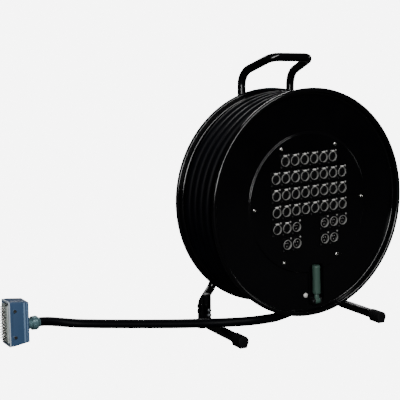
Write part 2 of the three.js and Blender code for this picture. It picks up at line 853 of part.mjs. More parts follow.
// The grip is a sleeve with a counterbore for the spindle's riveted head
function crankGrip() {
  const [x, y, z] = pivotPlace;
  const start = z + gripStart;
  const end = start + gripLength;
  const crown = 1.5;
  const headSeat = end - gripHeadDeep - gap;
  const body = turned([
    [gripBore, start],
    [gripRadius - crown, start],
    [gripRadius, start + crown],
    [gripRadius, end - crown],
    [gripRadius - crown, end],
    [gripHeadRadius + gap, end],
    [gripHeadRadius + gap, headSeat],
    [gripBore, headSeat],
  ], 16);
  body.rotateX(Math.PI / 2);
  body.translate(x, y, 0);
  return body;
}

function pocketStud() {
  const head = turned([[0, webFront - gap], [studHead, webFront - gap],
    [studHead * headCrownShare, webFront - gap - studRise], [0, webFront - gap - studRise]], 10);
  const shank = rod(studShank, webFront - gap, webBack + gap + pocketSheet, 8);
  return moved(joined([head, shank]), studSide, 0, -studDrop);
}

// Stand pieces, in the drum's own y and with z from the floor

const footCentre = soleDrop;
const legBehind = stubBehind + footTube + standTube + gap;
const capWall = 3;
const capBase = 4;
const capHigh = 17;

// One tube makes both legs, both uprights and the handle's crossbar
function standFrame() {
  const point = (x, y, z) => new THREE.Vector3(x, y, z);
  const side = (sign) => [
    point(sign * footSpread, legBehind, capBase),
    point(sign * footSpread, legBehind, legFootTop),
    point(sign * hipSide, uprightBehind - hipForward, hipHeight),
    point(sign * uprightSpread, uprightBehind, legBreak),
    point(sign * uprightSpread, uprightBehind, kneeHeight),
    point(sign * crossbarSpread, crossbarForward, crossbarHeight),
  ];
  const right = side(1).reverse();
  const line = [...side(-1), ...right];
  const half = [legRadius, legRadius, breakRadius, kneeRadius, cornerRadius];
  const radii = [...half, ...[...half].reverse()];
  return tubeAlong(bentStations(line, radii), standTube, 10);
}

// Floor tube: a rail along the floor that turns up into a stub beside the leg
function footTubeSolid(sign) {
  const x = sign * footSpread;
  const line = [
    new THREE.Vector3(x, footFront + capWall + gap, footCentre),
    new THREE.Vector3(x, stubBehind, footCentre),
    new THREE.Vector3(x, stubBehind, stubTop),
  ];
  const tube = tubeAlong(bentStations(line, [elbowRadius]), footTube, 10);
  const bolts = boltHeights.map((height) => moved(rod(boltRadius + gap, 0, 2 * uprightBehind, 6), x, 0, height));
  return cut(tube, bolts);
}

// Rubber end: a round sleeve with a flat sole
const ferruleRadius = 12.5;
const ferruleLength = 34;
const soleHalf = 8;

function frontFerrule(sign) {
  const steps = 10;
  const low = Math.asin(soleDrop * soleShare / ferruleRadius);
  const outline = Array.from({ length: steps + 1 }, (_, i) => {
    const angle = -low + (Math.PI + 2 * low) * i / steps;
    return [ferruleRadius * Math.cos(angle), ferruleRadius * Math.sin(angle)];
  });
  outline.push([-soleHalf, -soleDrop], [soleHalf, -soleDrop]);
  const body = plate(outline, footFront, footFront + ferruleLength);
  const bore = rod(footTube + gap, footFront + capWall, footFront + ferruleLength + overrun, 10);
  return moved(cut(body, [bore]), sign * footSpread, 0, footCentre);
}
const soleShare = 0.45;

function legCap(sign) {
  const inner = (standTube + gap) / Math.cos(Math.PI / holeSides);
  const outer = inner + capWall;
  const round = 2;
  const cap = turned([[0, 0], [outer - round, 0], [outer, round], [outer, capHigh], [inner, capHigh],
    [inner, capBase - gap], [0, capBase - gap]], holeSides);
  cap.rotateX(Math.PI / 2);
  cap.translate(sign * footSpread, legBehind, 0);
  return cap;
}

function stubPlug(sign) {
  const rise = 3;
  const slope = 2;
  const plug = turned([[0, stubTop + gap], [footTube, stubTop + gap], [footTube - slope, stubTop + gap + rise],
    [0, stubTop + gap + rise]], 10);
  plug.rotateX(Math.PI / 2);
  plug.translate(sign * footSpread, stubBehind, 0);
  return plug;
}

// Bolts through leg and stub
const boltRadius = 3;
const boltHead = 5.5;
const boltHeadHigh = 4;
const boltHeights = [36, 47.5];

// Bolt with its nut, through whatever stands between two y places
function sideBolt(x, height, y0, y1) {
  const front = y0 - gap - boltHeadHigh;
  const headFace = y1 + gap;
  const nutFace = y0 - gap;
  const bolt = turned([
    [0, front - boltTip],
    [boltRadius, front - boltTip],
    [boltRadius, front],
    [boltHead, front],
    [boltHead, nutFace],
    [boltRadius, nutFace],
    [boltRadius, headFace],
    [boltHead, headFace],
    [boltHead, headFace + boltHeadHigh],
    [0, headFace + boltHeadHigh],
  ], 6);
  return moved(bolt, x, 0, height);
}
const boltTip = 2;

// Cross plate that carries the axle, bolted to the uprights
const plateHalfX = 88;
const plateHalfZ = 42;
const plateCorner = 14;
const plateBoltZ = 26;

function axlePlate() {
  const outline = roundedOutline(plateHalfX, plateHalfZ, plateCorner, 2);
  const body = plate(outline, plateFront, plateFront + plateThick);
  const axleHole = rod(threadRadius + gap, plateFront - overrun, plateFront + plateThick + overrun, turnSides);
  const boltHoles = plateBoltPlaces.map(([x, z]) => {
    return moved(rod(boltRadius + gap, plateFront - overrun, plateFront + plateThick + overrun, 6), x, 0, z);
  });
  return moved(cut(body, [axleHole, ...boltHoles]), 0, 0, axleHeight);
}
const plateBoltPlaces = [[-1, -1], [-1, 1], [1, -1], [1, 1]].map(([i, j]) => [i * uprightSpread, j * plateBoltZ]);

// Multipin plug on the cable's end. Its own frame: x from the mouth to the cable, z up.
const hoodHigh = 97;
const hoodThick = 43;
const hoodLong = 44;
const hoodWall = 3;
const hoodTaper = 4.5;
const hoodCollar = 10;
const glandDrop = 9.7;
const threadHigh = 12;
const threadOuter = 11.8;
const nutHighPlug = 18;
const domeRadius = 15.5;
const insertLong = 30;
const insertHigh = 81;
const insertThick = 34;
const insertProud = 3;
const pinRows = 3;
const pinColumns = 6;
const pinLong = 8;
const hoodMiddle = hoodHigh / 2;
const glandHeight = hoodMiddle - glandDrop;
const plugPlace = [-611.2, 165.9];
const plugTurn = THREE.MathUtils.degToRad(4);

// Outline of the hood from the side, in x and z, tapered towards the cable
function hoodOutline(inset) {
  const back = hoodLong - inset;
  const low = inset;
  const high = hoodHigh - inset;
  const front = inset > 0 ? -overrun : 0;
  return [[front, low], [hoodCollar, low], [back, low + hoodTaper], [back, high - hoodTaper], [hoodCollar, high],
    [front, high]];
}

function plugHood() {
  const outer = plate(hoodOutline(0), -hoodThick / 2, hoodThick / 2);
  const inner = plate(hoodOutline(hoodWall), hoodWall - hoodThick / 2, hoodThick / 2 - hoodWall);
  const bore = alongX(threadBore, hoodLong - overrun, hoodLong + overrun, 0, glandHeight, 10);
  return cut(joined([outer, ...lockingPegs()]), [inner, bore]);
}
const threadBore = 8;

// The insert fills the mouth: a block with a flange, standing a little proud
function plugInsert() {
  const halfThick = insertThick / 2;
  const body = block([-insertProud, -halfThick, hoodMiddle - insertHigh / 2],
    [insertLong - insertProud, halfThick, hoodMiddle + insertHigh / 2]);
  const earHalf = hoodHigh / 2 - hoodWall - gap;
  const ear = block([earFront, gap - hoodThick / 2 + hoodWall, hoodMiddle - earHalf],
    [earFront + sheet, hoodThick / 2 - hoodWall - gap, hoodMiddle + earHalf]);
  return joined([body, ear, ...plugPins()]);
}
const earFront = 8;

// Contacts standing out of the insert's face
function plugPins() {
  const stepZ = insertHigh * pinFieldShare / (pinColumns - 1);
  const stepY = insertThick * pinFieldShare / (pinRows - 1) * pinRowShare;
  const pins = [];
  for (let i = 0; i < pinRows; i += 1) {
    for (let k = 0; k < pinColumns; k += 1) {
      const y = (i - (pinRows - 1) / 2) * stepY;
      const z = hoodMiddle + (k - (pinColumns - 1) / 2) * stepZ;
      const tip = -insertProud - pinLong;
      pins.push(block([tip, y - pinSize, z - pinSize], [0, y + pinSize, z + pinSize]));
    }
  }
  return pins;
}
const pinFieldShare = 0.84;
const pinRowShare = 0.8;
const pinSize = 1.1;

// Four pegs on the hood's long sides, where the other half's levers lock
const pegRadius = 3.5;
const pegHigh = 4;
const pegX = 12;
const pegZ = 20;

function lockingPegs() {
  const half = hoodThick / 2;
  const pegs = [];
  for (const side of [-1, 1]) {
    for (const z of [pegZ, hoodHigh - pegZ]) {
      const outer = side * (half + pegHigh);
      const inner = side * (half - hoodWall / 2);
      pegs.push(moved(rod(pegRadius, Math.min(inner, outer), Math.max(inner, outer), 6), pegX, 0, z));
    }
  }
  return pegs;
}

// Gland body screwed into the hood, its dome nut and the sealing ring inside the nut
function plugGland() {
  const start = hoodLong + gap;
  const collar = turned([[cableHole, start], [threadOuter + 1, start], [threadOuter + 1, start + threadHigh / 2],
    [threadOuter, start + threadHigh / 2], [threadOuter, start + threadHigh + glandLap],
    [cableHole, start + threadHigh + glandLap]], holeSides);
  return towardsCable(collar);
}
const glandLap = 6;

function glandNut() {
  const start = hoodLong + 2 * gap + threadHigh;
  const end = start + nutHighPlug;
  return towardsCable(turned([
    [threadOuter + gap, start],
    [domeRadius, start],
    [domeRadius, start + nutHighPlug * nutFlatShare],
    [cableHole + sheet, end],
    [cableHole, end],
    [cableHole, end - sheet],
    [threadOuter + gap, end - sheet - glandLap / 2],
  ], holeSides));
}
const nutFlatShare = 0.5;
const sealHigh = 3;

function glandSeal() {
  const start = hoodLong + threadHigh + glandLap + 2 * gap;
  return towardsCable(ring(cableHole, threadOuter, start, start + sealHigh, holeSides));
}

// Turns a piece made about Y to lie along X at the gland's height
function towardsCable(geometry) {
  geometry.rotateZ(-Math.PI / 2);
  geometry.translate(0, 0, glandHeight);
  return geometry;
}

// Free cable: from the winding's underside, over the left floor tube, to the plug's gland.
// The points are in the part's own frame.
const cableRoute = [
  [38.5, -55.65, 60.6], [9.2, -55.65, 54.4], [-20.2, -55.65, 48.2], [-49.5, -55.65, 41.9], [-72, -55.3, 38.7],
  [-98, -53.8, 37.8], [-130, -49.5, 37.1], [-160, -39, 36.3], [-187, -27, 35.7], [-212, -11.5, 34.6],
  [-240, 10, 32.4], [-275, 37, 29.9], [-320, 70, 27.9], [-370, 106, 26.2], [-420, 140, 25.3], [-455, 160, 26.2],
  [-484, 170.2, 30.2], [-510, 172.7, 35.4], [-534, 171.35, 38.8], [-565.3, 169.2, 38.8],
];

const cableSteps = 18;

function freeCable() {
  const points = cableRoute.map((place) => new THREE.Vector3(...place));
  const curve = new THREE.CatmullRomCurve3(points.slice(3), false, "centripetal");
  const stations = [points[0], points[1], points[2], ...curve.getSpacedPoints(cableSteps)];
  const tube = tubeAlong(stations, cableRadius, 8);
  const outside = trimRadius + gap;
  const turnedDrum = turned([[0, -flangeSpacing], [outside, -flangeSpacing], [outside, flangeSpacing],
    [0, flangeSpacing]], trimSides);
  return cut(tube, [moved(turnedDrum, 0, 0, axleHeight)]);
}

// Assembly

const drum = new THREE.Group();
drum.position.z = axleHeight;
drum.rotation.y = drumTurn;

drum.add(mesh("front_flange", frontFlange(), "gloss"));
drum.add(mesh("front_rim", frontRim(), "gloss"));
drum.add(mesh("rear_flange", rearFlange(), "gloss"));
drum.add(mesh("barrel", barrel(), "gloss"));
drum.add(mesh("bulkhead", bulkhead(), "zinc"));
drum.add(mesh("hub_tube", ring(hubInner, hubOuter, hubFront, hubBack, turnSides), "steel"));
drum.add(mesh("bush_front", bush(bushFrontFace, 1), "bronze"));
drum.add(mesh("bush_rear", bush(bushBackFace, -1), "bronze"));

function rearFlange() {
  const inner = hubOuter + gap;
  const body = turned(mirrored(flangeSection(inner)), flangeSides);
  const front = flangeSpacing - plateauBack - overrun;
  const shank = rod(screwShank + gap, front, flangeSpacing - plateauFront + overrun, 6);
  return cut(body, around(shank, screwCount, screwCircle));
}

const frontHeadY = plateauFront - gap;
const rearHeadY = flangeSpacing - plateauFront + gap;
const frontStuds = studRing(frontHeadY, 1);
drum.add(mesh("front_stud_ring", cut(frontStuds, [pocketNotch()]), "nickel"));
drum.add(mesh("rear_stud_ring", studRing(rearHeadY, -1), "nickel"));

drum.add(mesh("winding_core", windingCore(), "cable"));
drum.add(mesh("winding_outer_layer", windingOuterLayer(), "cable"));
drum.add(mesh("loom_gland", loomGland(), "zinc"));
drum.add(mesh("loom_trunk", loomTrunk(), "cable"));
drum.add(mesh("connector_loom", connectorLoom(), "cable"));

// Sockets
const insertRadius = 7.4;
const insertFrontInset = 0.8;
const contactRadius = 1.2;
const contactCircle = 3.9;
const contactLong = 10;
const insertEnd = (tieFront + tieBack) / 2;
const femaleInsert = plate(polygonOutline(insertRadius, bodySides), socketPlateFront + insertFrontInset, insertEnd);

// The block at a male socket's floor carries three contacts
function maleInsert() {
  const contact = plate(polygonOutline(contactRadius, 4), boreFloor - contactLong, boreFloor + sheet);
  const angles = [45, 135, 270].map((degrees) => THREE.MathUtils.degToRad(degrees));
  const three = angles.map((a) => moved(contact, contactCircle * Math.cos(a), 0, contactCircle * Math.sin(a)));
  return joined([plate(polygonOutline(socketBore - gap, boreSides), boreFloor, insertEnd), ...three]);
}

drum.add(mesh("female_shells", socketShells(femaleRuns, femaleLinkColumn), "plastic"));
drum.add(mesh("female_inserts", socketInserts(femaleRuns, femaleLinkColumn, femaleInsert), "insert"));
drum.add(mesh("male_shells_left", socketShells(maleRunsLeft, maleLinkColumns[0]), "plastic"));
drum.add(mesh("male_shells_right", socketShells(maleRunsRight, maleLinkColumns[1]), "plastic"));
drum.add(mesh("male_inserts", socketInserts(maleRuns, maleLinkColumns[1], maleInsert()), "insert"));

// One latch tab for each female socket, tied by row with a thin strip along the plates' top edge
const latchStrip = 1.2;

function latchRow(run) {
  const front = latchBack - latchThickness;
  const stripLow = socketHalfZ + gap;
  const stripHigh = stripLow + latchStrip;
  const latchTab = block([-latchHalf, front, socketHalfZ - latchHeight], [latchHalf, latchBack, stripHigh]);
  const tabs = runPlaces(run).map(([x, z]) => moved(latchTab, x, 0, z));
  const [x0, z] = socketPlace(run[0], run[2]);
  const [x1] = socketPlace(run[1], run[2]);
  const strip = block([x0 - latchHalf, latchBack - latchStrip, z + stripLow],
    [x1 + latchHalf, socketPlateFront + gap, z + stripHigh]);
  const [linkX] = socketPlace(femaleLinkColumn, run[2]);
  const notchHalf = linkHalf + gap;
  const notch = block([linkX - notchHalf, linkFront - latchTravel - gap, z + stripLow - overrun],
    [linkX + notchHalf, socketPlateBack, z + stripHigh + overrun]);
  return cut(joined([strip, ...tabs]), [notch]);
}

for (const run of femaleRuns) {
  drum.add(mesh(`latch_tabs_row_${run[2]}`, latchRow(run), "nickel"));
}

drum.add(mesh("crank_pocket", crankPocket(), "gloss"));
drum.add(mesh("crank_bracket", crankBracket(), "zinc"));
drum.add(mesh("crank_pin", crankPin(), "steel"));
drum.add(mesh("crank_spindle", crankSpindle(), "grip"));
drum.add(mesh("crank_grip", crankGrip(), "grip"));
drum.add(mesh("pocket_stud", pocketStud(), "nickel"));

const stand = new THREE.Group();
stand.add(mesh("stand_frame", standFrameDrilled(), "gloss"));

// The frame is drilled for the leg bolts and the plate's bolts
function standFrameDrilled() {
  const legHoles = [-1, 1].flatMap((sign) => boltHeights.map((height) => {
    return moved(rod(boltRadius + gap, 0, 2 * uprightBehind, 6), sign * footSpread, 0, height);
  }));
  const plateHoles = plateBoltPlaces.map(([x, z]) => {
    return moved(rod(boltRadius + gap, 0, 2 * uprightBehind, 6), x, 0, axleHeight + z);
  });
  return cut(standFrame(), [...legHoles, ...plateHoles]);
}

for (const [sign, side] of [[-1, "left"], [1, "right"]]) {
  stand.add(mesh(`foot_tube_${side}`, footTubeSolid(sign), "gloss"));
  stand.add(mesh(`front_ferrule_${side}`, frontFerrule(sign), "rubber"));
  stand.add(mesh(`leg_cap_${side}`, legCap(sign), "rubber"));
  stand.add(mesh(`stub_plug_${side}`, stubPlug(sign), "plastic"));
}

const legBack = legBehind + standTube;
const stubFront = stubBehind - footTube;
const uprightBack = uprightBehind + standTube;
for (const [sign, side] of [[-1, "left"], [1, "right"]]) {
  for (const [i, level] of ["lower", "upper"].entries()) {
    const legBolt = sideBolt(sign * footSpread, boltHeights[i], stubFront, legBack);
    const plateHeight = axleHeight + (i === 0 ? -plateBoltZ : plateBoltZ);
    const plateBolt = sideBolt(sign * uprightSpread, plateHeight, plateFront, uprightBack);
    stand.add(mesh(`leg_bolt_${side}_${level}`, legBolt, "blackScrew"));
    stand.add(mesh(`plate_bolt_${side}_${level}`, plateBolt, "zinc"));
  }
}
stand.add(mesh("axle_plate", axlePlate(), "gloss"));

const axle = new THREE.Group();
axle.position.z = axleHeight;
axle.add(mesh("stub_axle", stubAxle(), "steel"));
axle.add(mesh("axle_washer", axleWasher(plateFront + plateThick + gap), "zinc"));
axle.add(mesh("axle_nut", axleNut(plateFront + plateThick + 2 * gap + washerHigh), "zinc"));
axle.add(mesh("retaining_washer", axleWasher(bushFrontFace - gap - washerHigh), "zinc"));
axle.add(mesh("retaining_nut", axleNut(bushFrontFace - 2 * gap - washerHigh - axleNutHigh), "zinc"));
stand.add(axle);

// The origin is under the middle of the stand's depth
const rearEnd = uprightBack + gap + boltHeadHigh;
const depthMiddle = (footFront + rearEnd) / 2;
const body = new THREE.Group();
body.position.y = -depthMiddle;
body.add(drum, stand);

const plug = new THREE.Group();
plug.position.set(plugPlace[0], plugPlace[1], 0);
plug.rotation.z = plugTurn;
plug.add(mesh("plug_hood", plugHood(), "hood"));
plug.add(mesh("plug_insert", plugInsert(), "carrier"));
plug.add(mesh("plug_gland", plugGland(), "zinc"));
plug.add(mesh("gland_nut", glandNut(), "zinc"));
plug.add(mesh("gland_seal", glandSeal(), "rubber"));

const group = new THREE.Group();
group.add(body, plug, mesh("cable_tail", freeCable(), "cable"));
group.updateMatrixWorld(true);

export default group;
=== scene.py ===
"""Looks of a multicore cable drum: gloss black steel drum, socket panel, crank, stand, cable and multipin plug.

Sizes are in millimetres and are turned into metres when a mesh is made. Drum pieces are laid out with the
front rim's bead at y = 0 and the axle at x = z = 0, then turned and moved to their place on the stand.
"""

import logging
import math
from dataclasses import dataclass, field
from enum import Enum

import bmesh
import bpy
import numpy as np
from mathutils import Matrix, Vector

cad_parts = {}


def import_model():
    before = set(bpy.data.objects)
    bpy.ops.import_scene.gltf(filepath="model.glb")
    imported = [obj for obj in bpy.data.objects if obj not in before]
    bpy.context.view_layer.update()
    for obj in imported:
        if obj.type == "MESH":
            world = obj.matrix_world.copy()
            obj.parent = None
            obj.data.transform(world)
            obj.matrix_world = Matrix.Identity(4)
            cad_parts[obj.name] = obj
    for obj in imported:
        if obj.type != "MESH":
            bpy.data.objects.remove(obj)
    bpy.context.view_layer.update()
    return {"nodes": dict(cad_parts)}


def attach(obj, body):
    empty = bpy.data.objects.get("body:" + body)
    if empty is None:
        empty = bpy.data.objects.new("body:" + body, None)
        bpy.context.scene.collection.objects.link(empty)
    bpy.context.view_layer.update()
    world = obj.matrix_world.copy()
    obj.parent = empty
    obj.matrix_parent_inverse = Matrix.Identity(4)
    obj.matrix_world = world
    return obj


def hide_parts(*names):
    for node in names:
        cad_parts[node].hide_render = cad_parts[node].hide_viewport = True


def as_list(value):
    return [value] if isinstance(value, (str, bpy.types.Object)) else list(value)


LOG = logging.getLogger("cable_drum")
MILLIMETRE = 0.001
FULL = 2.0 * math.pi
SHARP_EDGE_DEGREES = 35.0

AXLE_HEIGHT = 290.0
MIDDLE_DEPTH = 86.65
DRUM_TURN_DEGREES = -2.4
TO_AXLE = np.array([0.0, -MIDDLE_DEPTH, AXLE_HEIGHT])


Outline = np.ndarray | list[tuple[float, float]]


def circle(count: int) -> np.ndarray:
    """Angles of a full turn in equal steps, the last step left open."""
    return np.arange(count) * (FULL / count)


def unit(vectors: np.ndarray) -> np.ndarray:
    """Each vector divided by its length."""
    return vectors / np.linalg.norm(vectors, axis=-1, keepdims=True)


@dataclass
class Surface:
    """Faces on shared points, in millimetres.

    loops holds the corner indices of all faces one after another, and sizes the corner count of each face.
    """

    points: np.ndarray
    loops: np.ndarray
    sizes: np.ndarray

    @staticmethod
    def grid(points: np.ndarray, wrap_rows: bool = False, wrap_columns: bool = False, caps: bool = False) -> "Surface":
        """Quads between neighbouring rows and columns of a grid of points.

        Args:
            points: array of rows x columns x 3.
            wrap_rows: join the last row to the first.
            wrap_columns: join the last column to the first.
            caps: close the first and last row with one face each.

        Returns:
            The surface.
        """
        rows, columns = points.shape[:2]
        index = np.arange(rows * columns).reshape(rows, columns)
        down = np.roll(index, -1, axis=0)
        right = np.roll(index, -1, axis=1)
        both = np.roll(down, -1, axis=1)
        last_row = rows if wrap_rows else rows - 1
        last_column = columns if wrap_columns else columns - 1
        corners = np.stack([index, down, both, right], axis=-1)[:last_row, :last_column]
        loops = corners.reshape(-1)
        sizes = np.full(last_row * last_column, 4)
        if caps:
            loops = np.concatenate([loops, index[0], index[-1][::-1]])
            sizes = np.concatenate([sizes, [columns, columns]])
        return Surface(points.reshape(-1, 3).astype(float), loops, sizes)

    @staticmethod
    def joined(parts: list["Surface"]) -> "Surface":
        """Several surfaces side by side as one.

        Args:
            parts: the surfaces, in order.

        Returns:
            One surface that holds them all.
        """
        starts = np.cumsum([0] + [len(part.points) for part in parts[:-1]])
        points = np.concatenate([part.points for part in parts])
        loops = np.concatenate([part.loops + start for part, start in zip(parts, starts)])
        return Surface(points, loops, np.concatenate([part.sizes for part in parts]))

    def moved(self, x: float = 0.0, y: float = 0.0, z: float = 0.0) -> "Surface":
        """The surface shifted by a vector."""
        return Surface(self.points + np.array([x, y, z]), self.loops, self.sizes)

    def turned(self, axis: str, degrees: float) -> "Surface":
        """The surface turned about the X, Y or Z axis."""
        matrix = np.array(Matrix.Rotation(math.radians(degrees), 3, axis))
        return Surface(self.points @ matrix.T, self.loops, self.sizes)

    def copies(self, offsets: np.ndarray) -> "Surface":
        """The same surface at each of k offsets, given as k x 3.

        Args:
            offsets: k x 3 vectors.

        Returns:
            One surface that holds the k copies.
        """
        count = len(offsets)
        points = (self.points[None, :, :] + offsets[:, None, :]).reshape(-1, 3)
        shift = np.arange(count) * len(self.points)
        loops = (self.loops[None, :] + shift[:, None]).reshape(-1)
        return Surface(points, loops, np.tile(self.sizes, count))


def revolve(profile: Outline, steps: int, closed: bool = False) -> Surface:
    """Carries a profile of (radius, y) points round the Y axis: x = r cos a, z = r sin a.

    Args:
        profile: n x 2 points in order round the section.
        steps: number of steps of a full turn.
        closed: join the profile's end to its start; otherwise both ends lie on the axis.

    Returns:
        The solid of revolution.
    """
    section = np.asarray(profile, dtype=float)
    angle = circle(steps)[:, None]
    x = np.cos(angle) * section[None, :, 0]
    z = np.sin(angle) * section[None, :, 0]
    y = np.broadcast_to(section[None, :, 1], x.shape)
    return Surface.grid(np.stack([x, y, z], axis=-1), wrap_rows=True, wrap_columns=closed)


def cylinder(radius: float, low: float, high: float, steps: int) -> Surface:
    """A solid cylinder about Y."""
    return revolve([(0, low), (radius, low), (radius, high), (0, high)], steps)


def arc(centre: tuple[float, float], radius: float, start: float, end: float, steps: int) -> np.ndarray:
    """Points of a circular arc in a plane, angles in degrees."""
    angle = np.radians(np.linspace(start, end, steps))
    return np.stack([centre[0] + radius * np.cos(angle), centre[1] + radius * np.sin(angle)], axis=-1)


def rounded_profile(corners: Outline, radius: float, steps: int = 4, closed: bool = True) -> np.ndarray:
    """A polygon whose corners are rounded by a quadratic curve that leaves each corner's sides at one radius.

    Each rounded corner is (1-t)^2 a + 2t(1-t) c + t^2 b, with a and b on the sides and c the corner.

    Args:
        corners: the polygon's corners.
        radius: distance from a corner to where the rounding starts, cut to half the shorter side.
        steps: points per corner.
        closed: round the first and last corner too; otherwise they stay as they are.

    Returns:
        The rounded outline's points.
    """
    points = np.array(corners, dtype=float)
    before = np.roll(points, 1, axis=0) - points
    after = np.roll(points, -1, axis=0) - points
    reach_before = np.minimum(radius, 0.499 * np.linalg.norm(before, axis=1))[:, None]
    reach_after = np.minimum(radius, 0.499 * np.linalg.norm(after, axis=1))[:, None]
    start = points + unit(before) * reach_before
    end = points + unit(after) * reach_after
    t = np.linspace(0.0, 1.0, steps)[None, :, None]
    curve = (1 - t) ** 2 * start[:, None] + 2 * t * (1 - t) * points[:, None] + t**2 * end[:, None]
    if closed:
        return curve.reshape(-1, 2)
    return np.concatenate([points[:1], curve[1:-1].reshape(-1, 2), points[-1:]])


def ring_profile(inner: float, outer: float, low: float, high: float, radius: float) -> np.ndarray:
    """Section of a ring about Y with its four edges rounded."""
    return rounded_profile([(inner, low), (outer, low), (outer, high), (inner, high)], radius, 3)


def prism(outline: Outline, low: float, high: float, bevel: float = 0.0, bevel_steps: int = 3) -> Surface:
    """Carries an outline in X and Z from one y place to another, with rounded edges at both ends.

    Each ring is the outline moved inwards along its own normals by b (1 - sin q), and y runs by b (1 - cos q).

    Args:
        outline: n x 2 points.
        low: lower y.
        high: upper y.
        bevel: edge rounding.
        bevel_steps: rings in each rounded edge.

    Returns:
        The closed solid.
    """
    outline = np.asarray(outline, dtype=float)
    ahead = unit(np.roll(outline, -1, axis=0) - outline)
    behind = unit(outline - np.roll(outline, 1, axis=0))
    along = unit(ahead + behind)
    normal = np.stack([along[:, 1], -along[:, 0]], axis=-1)
    area = np.sum(outline[:, 0] * np.roll(outline[:, 1], -1) - np.roll(outline[:, 0], -1) * outline[:, 1])
    normal = normal * (1.0 if area > 0 else -1.0)
    quarter = np.linspace(0.0, math.pi / 2, bevel_steps) if bevel > 0 else np.array([math.pi / 2])
    inset = bevel * (1 - np.sin(quarter))
    rise = bevel * (1 - np.cos(quarter))
    insets = np.concatenate([inset, inset[::-1]])
    depth = np.concatenate([low + rise, high - rise[::-1]])
    plane = outline[None] - normal[None] * insets[:, None, None]
    y = np.broadcast_to(depth[:, None], plane.shape[:2])
    return Surface.grid(np.stack([plane[..., 0], y, plane[..., 1]], axis=-1), wrap_columns=True, caps=True)


def rectangle(half_x: float, half_z: float, radius: float, steps: int = 5) -> np.ndarray:
    """Outline of a rectangle with rounded corners."""
    corners = [(half_x, half_z), (-half_x, half_z), (-half_x, -half_z), (half_x, -half_z)]
    return rounded_profile(corners, radius, steps)


def hexagon(across: float) -> np.ndarray:
    """Outline of a hexagon of a given corner radius."""
    angle = circle(6)
    return np.stack([across * np.cos(angle), across * np.sin(angle)], axis=-1)


def path_frames(path: np.ndarray, first_normal: np.ndarray) -> tuple[np.ndarray, np.ndarray]:
    """Normals and binormals carried along a path without twist.

    Each normal is the one before it, less its part along the new tangent.

    Args:
        path: n x 3 points.
        first_normal: direction of the first normal.

    Returns:
        Normals and binormals, each n x 3.
    """
    tangent = unit(np.gradient(path, axis=0))
    normals = np.empty_like(path)
    normal = first_normal
    for i, direction in enumerate(tangent):
        normal = unit(normal - direction * np.dot(normal, direction))
        normals[i] = normal
    return normals, np.cross(tangent, normals)


def swept(path: np.ndarray, first: np.ndarray, second: np.ndarray, radius: float, sides: int) -> np.ndarray:
    """Circles along a path: p + r (u cos a + v sin a), with u and v two directions at each point of it."""
    angle = circle(sides)[None, :, None]
    return path[:, None] + radius * (first[:, None] * np.cos(angle) + second[:, None] * np.sin(angle))


def bent_path(corners: np.ndarray, radii: list[float], steps: int, straight: float = 12.0) -> np.ndarray:
    """A line through corners, with each inner corner bent to its radius.

    A bend is c + r (-n cos q + t sin q), with n the way to the bend's inside and t the way in.

    Args:
        corners: n x 3 points.
        radii: bend radius of each inner corner.
        steps: points in each bend.
        straight: spacing of points on the straight stretches.

    Returns:
        The path's points.
    """
    pieces = [corners[:1]]
    for i, radius in enumerate(radii, start=1):
        way_in = unit(corners[i] - corners[i - 1])
        way_out = unit(corners[i + 1] - corners[i])
        bend = math.acos(float(np.clip(np.dot(way_in, way_out), -1, 1)))
        start = corners[i] - way_in * radius * math.tan(bend / 2)
        inside = unit(way_out - way_in * np.dot(way_out, way_in))
        centre = start + inside * radius
        turn = np.linspace(0.0, bend, steps)[:, None]
        curve = centre - inside * radius * np.cos(turn) + way_in * radius * np.sin(turn)
        count = max(2, int(np.linalg.norm(curve[0] - pieces[-1][-1]) / straight))
        pieces.append(np.linspace(pieces[-1][-1], curve[0], count)[1:-1])
        pieces.append(curve)
    count = max(2, int(np.linalg.norm(corners[-1] - pieces[-1][-1]) / straight))
    pieces.append(np.linspace(pieces[-1][-1], corners[-1], count)[1:])
    return np.concatenate(pieces)


def smooth_line(points: np.ndarray, steps: int) -> np.ndarray:
    """A centripetal Catmull-Rom curve through points.

    Args:
        points: n x 3 points.
        steps: points per stretch between two given points.

    Returns:
        The curve's points, the last given point among them.
    """
    ends = np.concatenate([[2 * points[0] - points[1]], points, [2 * points[-1] - points[-2]]])
    p0, p1, p2, p3 = ends[:-3, None], ends[1:-2, None], ends[2:-1, None], ends[3:, None]

    def knot(a: np.ndarray, b: np.ndarray) -> np.ndarray:
        """Square root of the distance between two points."""
        return np.sqrt(np.linalg.norm(b - a, axis=-1, keepdims=True))

    t1 = knot(p0, p1)
    t2 = t1 + knot(p1, p2)
    t3 = t2 + knot(p2, p3)
    t = t1 + (t2 - t1) * np.linspace(0.0, 1.0, steps, endpoint=False)[None, :, None]
    a1 = (t1 - t) / t1 * p0 + t / t1 * p1
    a2 = (t2 - t) / (t2 - t1) * p1 + (t - t1) / (t2 - t1) * p2
    a3 = (t3 - t) / (t3 - t2) * p2 + (t - t2) / (t3 - t2) * p3
    b1 = (t2 - t) / t2 * a1 + t / t2 * a2
    b2 = (t3 - t) / (t3 - t1) * a2 + (t - t1) / (t3 - t1) * a3
    curve = (t2 - t) / (t2 - t1) * b1 + (t - t1) / (t2 - t1) * b2
    return np.concatenate([curve.reshape(-1, 3), points[-1:]])


def at_axle(surface: Surface) -> Surface:
    """Moves a piece from the axle's frame, with its middle at x = z = 0, to the part's own."""
    return surface.moved(y=-MIDDLE_DEPTH, z=AXLE_HEIGHT)


def on_drum(surface: Surface) -> Surface:
    """Turns a piece with the drum and moves it to its place on the stand."""
    return at_axle(surface.turned("Y", DRUM_TURN_DEGREES))


def on_stand(surface: Surface) -> Surface:
    """Moves a piece from the stand's frame, with z from the floor, to the part's own."""
    return surface.moved(y=-MIDDLE_DEPTH)


